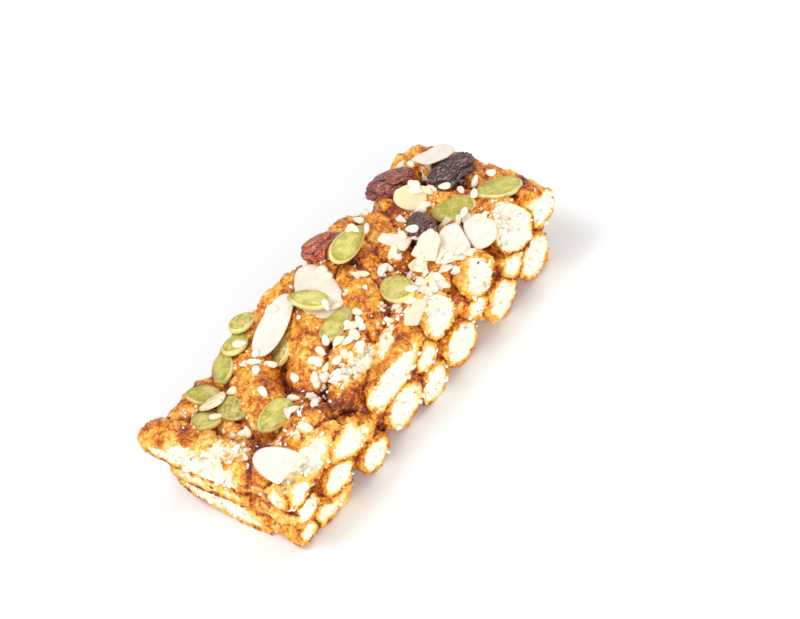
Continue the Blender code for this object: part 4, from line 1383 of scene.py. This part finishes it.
def sesame_skin():
    """Hulled sesame: cream white, a little shiny."""
    look = Finish("sesame", 0.4)
    colour = look.mixed(look.fact("tone"), linear(253, 247, 234), linear(251, 238, 208))
    colour = look.tint(colour, look.patches(1.0, 0.5, 0.7), 0.25, (235, 196, 140))
    return look.finished(colour, 0.5, 0.03)


# The raisins' long wrinkles: how far they are stretched, how many to a mm, and how high
WRINKLE_STRETCH = (0.38, 1.0, 1.0)
WRINKLE_SCALE = 0.62
WRINKLE_HEIGHT = 2.4


def raisin_skin():
    """Dried grape skin: from purple black to red amber by its tone. Noise crosses 0 in the long
    valleys between its wrinkles. Painted shade darkens the valleys and the deep creases, and a
    painted highlight makes the ridges paler."""
    look = Finish("raisin", 0.26, 0.6)
    look.shader["Coat Weight"].default_value = 1.0
    look.shader["Coat Roughness"].default_value = 0.08
    tone = look.fact("tone")
    stops = (
        (0.1, (82, 34, 40)),
        (0.3, (108, 42, 32)),
        (0.55, (182, 78, 50)),
        (0.95, (218, 88, 28)),
    )
    place = look.shifted(look.own_place(), Location=look.times(tone, 40.0), Scale=WRINKLE_STRETCH)
    noise = look.noise(place, WRINKLE_SCALE, 3.0, 0.55)
    fold = look.sums("ABSOLUTE", look.less(noise, 0.5))
    # Painted highlight: the ridges of the wrinkles are tinted pale pink
    colour = look.tint(look.ramp(tone, stops), look.spread(fold, 0.1, 0.22), 0.4, (240, 168, 130))
    # Painted shade: the valleys between the wrinkles and the deep creases of the shape are darkened
    # nearly to black
    valley_shade = look.times(look.spread(fold, 0.06, 0.0), 0.5)
    deep = look.plus(look.times(look.fact("rim"), 0.5), valley_shade, clamp=True)
    colour = look.mixed(deep, colour, linear(46, 20, 18))
    look.embossed(fold, WRINKLE_HEIGHT)
    return look.finished(colour)


def white_floor():
    """The pale sweep that the bar lies on."""
    look = Finish("white_floor", 0.7, 0.2)
    shades = (0.93, 0.945, 0.96, 1.0), (0.94, 0.955, 0.97, 1.0)
    return look.finished(look.mixed(look.patches(400.0, 0.3, 0.7), *shades))


# Stage

CAMERA_PLACE = (-0.25896, -0.30046, 0.37637)
CAMERA_RIGHT = (0.5733390098, -0.7894078373, -0.2193573482)
CAMERA_DOWN = (-0.6512216027, -0.2766058582, -0.7066821233)
CAMERA_AHEAD = (0.4971848790, 0.5480186727, -0.6726683659)
CAMERA_LENS = 100.06
CAMERA_SENSOR = 36

# The floor's half size and height, in mm
FLOOR_HALF = 1500
FLOOR_HEIGHT = -0.05

# The lights: name, place in m, size in m and power in W, and the light from all round
LIGHTS = (
    ("key", (-0.35, 0.3, 0.8), 0.4, 3.6),
    ("front", (-0.45, -0.75, 0.3), 0.6, 5.2),
    ("rim", (0.7, 0.1, 0.6), 0.5, 1.8),
)
WORLD_LIGHT = 0.55


def stage(finish):
    """A pale floor, soft light all round, and the photograph's camera."""
    signs = ((-1, -1), (1, -1), (1, 1), (-1, 1))
    rim = [(FLOOR_HALF * u, FLOOR_HALF * v, FLOOR_HEIGHT) for u, v in signs]
    floor = mesh_object("floor", rim, ((0, 1, 2, 3),), {}, finish)
    world = bpy.data.worlds.new("studio")
    world.use_nodes = True
    backdrop = world.node_tree.nodes["Background"]
    backdrop.inputs["Color"].default_value = (1, 1, 1, 1)
    backdrop.inputs["Strength"].default_value = WORLD_LIGHT
    bpy.context.scene.world = world
    for name, spot, size, power in LIGHTS:
        light = bpy.data.lights.new(name, "AREA")
        light.shape = "SQUARE"
        light.size = size
        light.energy = power
        lamp = bpy.data.objects.new(name, light)
        lamp.location = spot
        ahead = Vector((0, 0, 0.01)) - Vector(spot)
        lamp.rotation_euler = ahead.to_track_quat("-Z", "Y").to_euler()
        bpy.context.scene.collection.objects.link(lamp)
    lens = bpy.data.cameras.new("camera")
    lens.lens = CAMERA_LENS
    lens.sensor_width = CAMERA_SENSOR
    lens.clip_start, lens.clip_end = 0.01, 10
    camera = bpy.data.objects.new("camera", lens)
    up, back = -Vector(CAMERA_DOWN), -Vector(CAMERA_AHEAD)
    turned = Matrix((CAMERA_RIGHT, up, back)).transposed()
    camera.matrix_world = Matrix.Translation(CAMERA_PLACE) @ turned.to_4x4()
    bpy.context.scene.collection.objects.link(camera)
    bpy.context.scene.camera = camera
    bpy.context.scene.view_settings.view_transform = "Standard"


def corners(box):
    """A box's two corners as plain lists."""
    return [[float(v) for v in corner] for corner in box]


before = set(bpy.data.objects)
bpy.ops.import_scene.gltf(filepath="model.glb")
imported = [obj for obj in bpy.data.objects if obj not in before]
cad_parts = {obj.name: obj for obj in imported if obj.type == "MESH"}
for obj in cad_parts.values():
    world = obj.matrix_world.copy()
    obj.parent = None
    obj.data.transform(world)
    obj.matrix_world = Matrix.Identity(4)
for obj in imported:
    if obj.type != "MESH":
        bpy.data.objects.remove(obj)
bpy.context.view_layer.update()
patch_group()
grit_group()
crust_group()
sticks = all_sticks()
field = Field()
beds = grain_beds(field, sticks, puffed_grain())
for bed in beds:
    settle(bed, ["bar"])
syrup = settle(syrup_bed(field, sticks, syrup_glaze()))
almond = almond_flesh()
holding = [*beds, syrup, pumpkin_seeds(pumpkin_skin()), almond_flakes(almond)]
holding += [split_seed(seed_hull()), raisins(raisin_skin())]
chips = almond_chips(Surface(holding, CAMERA_PLACE), almond)
surface = Surface([*holding, chips], CAMERA_PLACE)
sesame_seeds(surface, sesame_skin())
crumbs(beds, surface, loose_crumb())
stage(white_floor())
